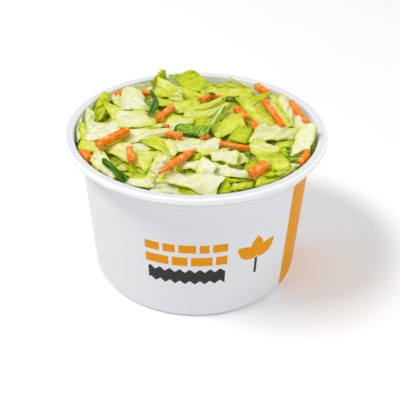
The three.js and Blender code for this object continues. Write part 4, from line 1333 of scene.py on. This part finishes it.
def shred_tree(material):
    """Fine slivers scattered over a surface."""
    inputs = (
        ("Density", "NodeSocketFloat"), ("Length", "NodeSocketFloat"),
        ("Width", "NodeSocketFloat"), ("Seed", "NodeSocketInt"),
    )
    tree = ShapeTree("shreds", inputs)
    points = tree.add("GeometryNodeDistributePointsOnFaces", out="Points", sockets={
        "Mesh": tree.input("Geometry"), "Density": tree.input("Density"), "Seed": tree.input("Seed"),
    })
    facing = Socket(tree, points.socket.node.outputs["Rotation"])
    sliver = tree.add("GeometryNodeMeshCube", sockets={
        "Size": tree.join(tree.input("Length"), tree.input("Width"), tree.input("Width") * 0.45),
        "Vertices X": 7, "Vertices Y": 3, "Vertices Z": 2,
    })
    x, _, _ = tree.split(tree.add("GeometryNodeInputPosition"))
    curl = tree.join(0.0, (x * 700.0).math("SINE") * 0.0004, x * x * 90.0)
    sliver = tree.add("GeometryNodeSetPosition", sockets={"Geometry": sliver, "Offset": curl})
    turn = tree.add("FunctionNodeRandomValue", {"data_type": "FLOAT_VECTOR"}, sockets={
        "Min": (-SHRED_LEAN, -SHRED_LEAN, 0.0), "Max": (SHRED_LEAN, SHRED_LEAN, 2 * math.pi), "Seed": 3,
    })
    spin = tree.add("FunctionNodeRotateRotation", {"rotation_space": "LOCAL"}, facing, turn)
    size = tree.add("FunctionNodeRandomValue", {"data_type": "FLOAT"}, out=1)
    placed = tree.add("GeometryNodeInstanceOnPoints", sockets={
        "Points": points, "Instance": sliver, "Rotation": spin, "Scale": size * 0.6 + 0.6,
    })
    smooth = tree.add("GeometryNodeSetShadeSmooth", sockets={"Geometry": placed})
    return tree.finish(smooth, material)


def core_mesh():
    """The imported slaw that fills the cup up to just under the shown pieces."""
    segments = CORE_SEGMENTS
    bottom = DISC_TOP + CLEARANCE
    angles = np.linspace(0, 2 * math.pi, segments, endpoint=False)
    rings = [(np.full(segments, CORE_HUB), np.full(segments, bottom))]
    for z in (bottom, *CORE_SIDE_HEIGHTS):
        rings.append((np.full(segments, room_radius(z) - CORE_GAP), np.full(segments, z)))
    for share in np.linspace(0.96, 0.02, CORE_TOP_RINGS):
        r = np.full(segments, (BAND_FOOT_RADIUS - 2) * share)
        rings.append((r, core_top(r * np.cos(angles), r * np.sin(angles))))
    points = np.concatenate([
        np.column_stack((r * np.cos(angles), r * np.sin(angles), z)) for r, z in rings
    ])
    grid = points.reshape(len(rings), segments, 3).transpose(1, 0, 2).reshape(-1, 3)
    faces = grid_faces(segments, len(rings), close_rows=True).tolist()
    faces.append([i * len(rings) for i in range(segments)][::-1])
    faces.append([i * len(rings) + len(rings) - 1 for i in range(segments)])
    mesh = bpy.data.meshes.new("slaw_core")
    mesh.from_pydata((grid * MM).tolist(), [], faces)
    mesh.shade_smooth()
    return mesh


def skin_mesh(field):
    """The top of the finished heap as a coarse surface that shreds lie on."""
    axis = np.arange(-SKIN_HALF, SKIN_HALF + SKIN_STEP / 2, SKIN_STEP)
    x, y = np.meshgrid(axis, axis, indexing="ij")
    z = field.get(x, y) + SKIN_LIFT
    faces = grid_faces(len(axis), len(axis))
    r = np.hypot(x, y).ravel()
    faces = faces[(r[faces] < SKIN_RADIUS).all(axis=1)]
    return plain_mesh("heap_skin", np.column_stack((x.ravel(), y.ravel(), z.ravel())), faces)


# ---- Settings ----

def colour_property(name, description, default):
    return bpy.props.FloatVectorProperty(
        name=name, description=description, subtype="COLOR", size=4, default=default)


def number_property(name, description, default, unit="NONE"):
    return bpy.props.FloatProperty(name=name, description=description, default=default, unit=unit)


class CupSettings(bpy.types.PropertyGroup):
    segments: bpy.props.IntProperty(
        name="Segments", description="Faces round the cup", default=256, min=48, max=512)
    seam_width: number_property("Seam width", "Overlap of the side seam", SEAM_WIDTH * MM, "LENGTH")
    seam_step: number_property("Seam step", "Height of the seam's step", SEAM_STEP * MM, "LENGTH")
    paper_colour: colour_property("Paper", "The board's colour", srgb(235, 237, 240))
    paper_shade: colour_property("Paper shade", "Darker fibres", srgb(231, 232, 235))
    # The painted highlight colour of the rim's round outside.
    roll_highlight_colour: colour_property("Roll", "The rim's round outside", srgb(248, 249, 250))
    # The painted shade colour of the rim's flat top, the stretch under the roll and the band's foot.
    painted_shade_colour: colour_property("Painted shade", "Shaded folds", srgb(214, 217, 223))
    stripe_colour: colour_property("Orange print", "Bars, stripe and leaves", srgb(240, 160, 0))
    dark_colour: colour_property("Dark print", "Band and stem", srgb(60, 56, 56))


class HeapSettings(bpy.types.PropertyGroup):
    fillers: bpy.props.IntProperty(
        name="Filler leaves", description="Leaves under the shown ones", default=280, min=0, max=400)
    stick_rounding: number_property("Stick rounding", "Of the edges, as a share of the width", 0.2)
    shred_density: number_property("Shreds", "Fine shreds for each square metre", 500)
    shred_length: number_property("Shred length", "Length of a fine shred", 4 * MM, "LENGTH")
    shred_width: number_property("Shred width", "Width of a fine shred", 0.5 * MM, "LENGTH")


class StageSettings(bpy.types.PropertyGroup):
    floor_colour: colour_property("Floor", "The floor's colour", (0.95, 0.95, 0.955, 1))
    floor_glow: number_property("Floor glow", "Light that the floor gives off itself", 0.03)
    sky: number_property("Sky", "Strength of the light all round", 0.5)
    sky_rise: number_property("Sky rise", "How much stronger the light from straight above is", 0.24)
    sky_side: number_property("Sky side", "How much stronger the light from the right is", 0.35)
    key_power: number_property("Key light", "Power of the large light at the left", 15.5, "POWER")
    key_size: bpy.props.FloatVectorProperty(
        name="Key size", description="Length and width of the large light", size=2, default=(0.6, 0.36),
        subtype="XYZ_LENGTH")


# ---- Operators ----

def settle(piece, nodes):
    """Parents a finished piece to the root body that it rides on and hides the parts that it replaces."""
    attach(piece, "root")
    if nodes:
        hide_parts(*nodes)


def laid_kind(laid, kind, filler=False):
    return [(piece, middle) for piece, middle in laid if (piece.kind, piece.filler) == (kind, filler)]


class SLAW_OT_make_cup(bpy.types.Operator):
    """Make the paper cup with its rolled rim, shoulder band, seam and print"""
    bl_idname = "slaw.make_cup"
    bl_label = "Paper cup"

    def execute(self, context):
        cup = context.scene.slaw_cup
        section = cup_profile()[::-1]
        points = [(r - RIM_RADIUS, -z, 0) for r, z in section]
        edges = [(i, (i + 1) % len(points)) for i in range(len(points))]
        source = plain_mesh("cup_section", points, np.zeros((0, 4), int), edges)
        material = paper_material(cup)
        mesh = run_tree("paper_cup", source, lathe_tree(material), {
            "Radius": CUP_HIGH.x, "Segments": cup.segments,
            "Seam angle": SEAM_ANGLE, "Seam width": cup.seam_width, "Seam step": cup.seam_step,
        })
        mesh.shade_smooth()
        piece = linked("paper_cup", mesh)
        settle(piece, ["cup"])
        return {"FINISHED"}


class SLAW_OT_finish_base(bpy.types.Operator):
    """Give the recessed base disc its paper"""
    bl_idname = "slaw.finish_base"
    bl_label = "Base disc"

    def execute(self, context):
        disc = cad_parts["cup_base"]
        disc.data.materials.clear()
        disc.data.materials.append(base_material())
        return {"FINISHED"}


class SLAW_OT_make_core(bpy.types.Operator):
    """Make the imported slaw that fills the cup"""
    bl_idname = "slaw.make_core"
    bl_label = "Packed slaw"

    def execute(self, context):
        settle(linked("slaw_core", core_mesh(), core_material()), ["slaw"])
        return {"FINISHED"}


class SLAW_OT_make_leaves(bpy.types.Operator):
    """Lay the cabbage leaves, ribs and green cuttings"""
    bl_idname = "slaw.make_leaves"
    bl_label = "Leaves"

    def execute(self, context):
        laid, field = laid_heap(context.scene.slaw_heap.fillers)
        kinds = (
            ("cabbage_fill", laid_kind(laid, "leaf", filler=True), cabbage_material("cabbage_fill")),
            ("cabbage_leaves", laid_kind(laid, "leaf"), cabbage_material("cabbage_leaf")),
            ("cabbage_ribs", laid_kind(laid, "rib"), cabbage_material("cabbage_rib")),
            ("green_cuttings", laid_kind(laid, "herb"), herb_material()),
            ("green_pepper", laid_kind(laid, "pepper"), pepper_material()),
        )
        for name, chosen, material in kinds:
            settle(joined_sheets(name, chosen, field, material), ["slaw"])
        return {"FINISHED"}


class SLAW_OT_make_carrots(bpy.types.Operator):
    """Cut the carrot sticks"""
    bl_idname = "slaw.make_carrots"
    bl_label = "Carrot sticks"

    def execute(self, context):
        heap = context.scene.slaw_heap
        laid, _ = laid_heap(heap.fillers)
        paths = stick_paths(laid_kind(laid, "stick"))
        mesh = run_tree("carrot_sticks", paths, stick_tree(carrot_material()), {
            "Rounding": heap.stick_rounding, "Unevenness": STICK_UNEVENNESS * MM,
        })
        mesh.shade_smooth()
        settle(linked("carrot_sticks", mesh), ["slaw"])
        return {"FINISHED"}


class SLAW_OT_make_shreds(bpy.types.Operator):
    """Scatter the fine shreds over the heap"""
    bl_idname = "slaw.make_shreds"
    bl_label = "Fine shreds"

    def execute(self, context):
        heap = context.scene.slaw_heap
        _, field = laid_heap(heap.fillers)
        mesh = run_tree("fine_shreds", skin_mesh(field), shred_tree(shred_material()), {
            "Density": heap.shred_density, "Length": heap.shred_length,
            "Width": heap.shred_width, "Seed": SEED,
        })
        settle(linked("fine_shreds", mesh), ["slaw"])
        return {"FINISHED"}


def area_light(name, place, power, size, colour):
    """A rectangular light that points at the middle of the cup."""
    data = bpy.data.lights.new(name, "AREA")
    data.energy = power
    data.shape = "RECTANGLE"
    data.size, data.size_y = size
    data.color = colour
    light = bpy.data.objects.new(name, data)
    light.location = place
    light.rotation_mode = "QUATERNION"
    light.rotation_quaternion = (CAMERA_TARGET - place).to_track_quat("-Z", "Y")
    bpy.context.scene.collection.objects.link(light)


def sky_world(stage):
    """Soft light from all round, stronger from above and from the right."""
    world = bpy.data.worlds.new("studio")
    world.use_nodes = True
    graph = Graph(world.node_tree)
    background = world.node_tree.nodes["Background"]
    background.inputs["Color"].default_value = SKY_COLOUR
    right, _, up = graph.split(graph.add("ShaderNodeTexCoord", out="Generated"))
    strength = up.clamp() * stage.sky_rise + right * stage.sky_side + stage.sky
    graph.feed(background.inputs["Strength"], strength)
    return world


def cup_camera():
    """A camera in front of the cup that looks down on it, turned and rolled by a hair."""
    data = bpy.data.cameras.new("camera")
    data.sensor_width = SENSOR_WIDTH
    data.lens = SENSOR_WIDTH * CAMERA_FOCAL / IMAGE_WIDTH
    data.clip_start = 0.01
    camera = bpy.data.objects.new("camera", data)
    bpy.context.scene.collection.objects.link(camera)
    back = Vector((0, -math.cos(CAMERA_ELEVATION), math.sin(CAMERA_ELEVATION)))
    camera.location = CAMERA_TARGET + back * CAMERA_DISTANCE
    look = (-back).to_track_quat("-Z", "Y").to_matrix()
    aside = Matrix.Rotation(-CAMERA_ASIDE, 3, "Y")
    roll = Matrix.Rotation(CAMERA_ROLL, 3, "Z")
    camera.rotation_mode = "QUATERNION"
    camera.rotation_quaternion = (look @ aside @ roll).to_quaternion()
    return camera


class SLAW_OT_make_stage(bpy.types.Operator):
    """Make the floor, the lights and the camera"""
    bl_idname = "slaw.make_stage"
    bl_label = "Studio"

    def execute(self, context):
        stage = context.scene.slaw_stage
        half = FLOOR_HALF
        corners = [(-half, -half, 0), (half, -half, 0), (half, half, 0), (-half, half, 0)]
        floor = linked("floor", plain_mesh("floor", corners, [(0, 1, 2, 3)]), floor_material(stage))
        floor.location.z = -FLOOR_GAP
        context.scene.world = sky_world(stage)
        area_light("key", KEY_FROM, stage.key_power, stage.key_size, KEY_COLOUR)
        context.scene.camera = cup_camera()
        context.scene.view_settings.view_transform = "Standard"
        context.scene.view_settings.look = "None"
        return {"FINISHED"}


class SLAW_PT_panel(bpy.types.Panel):
    """Lists the pieces and their settings"""
    bl_idname = "SLAW_PT_panel"
    bl_label = "Coleslaw"
    bl_space_type = "VIEW_3D"
    bl_region_type = "UI"
    bl_category = "Slaw"

    def draw(self, context):
        scene = context.scene
        for group in (scene.slaw_cup, scene.slaw_heap, scene.slaw_stage):
            for key in group.__annotations__:
                self.layout.prop(group, key)
        for operator in OPERATORS:
            self.layout.operator(operator.bl_idname)


OPERATORS = (
    SLAW_OT_make_stage,
    SLAW_OT_make_cup,
    SLAW_OT_finish_base,
    SLAW_OT_make_core,
    SLAW_OT_make_leaves,
    SLAW_OT_make_carrots,
    SLAW_OT_make_shreds,
)
CLASSES = (CupSettings, HeapSettings, StageSettings, *OPERATORS, SLAW_PT_panel)
SETTINGS = (("slaw_cup", CupSettings), ("slaw_heap", HeapSettings), ("slaw_stage", StageSettings))


def register():
    for cls in CLASSES:
        bpy.utils.register_class(cls)
    for name, group in SETTINGS:
        setattr(bpy.types.Scene, name, bpy.props.PointerProperty(type=group))


def unregister():
    for name, _ in SETTINGS:
        delattr(bpy.types.Scene, name)
    for cls in reversed(CLASSES):
        bpy.utils.unregister_class(cls)


def main():
    register()
    bpy.ops.slaw.make_stage()
    bpy.ops.slaw.make_cup()
    bpy.ops.slaw.finish_base()
    bpy.ops.slaw.make_core()
    bpy.ops.slaw.make_leaves()
    bpy.ops.slaw.make_carrots()
    bpy.ops.slaw.make_shreds()


if __name__ == "__main__":
    main()
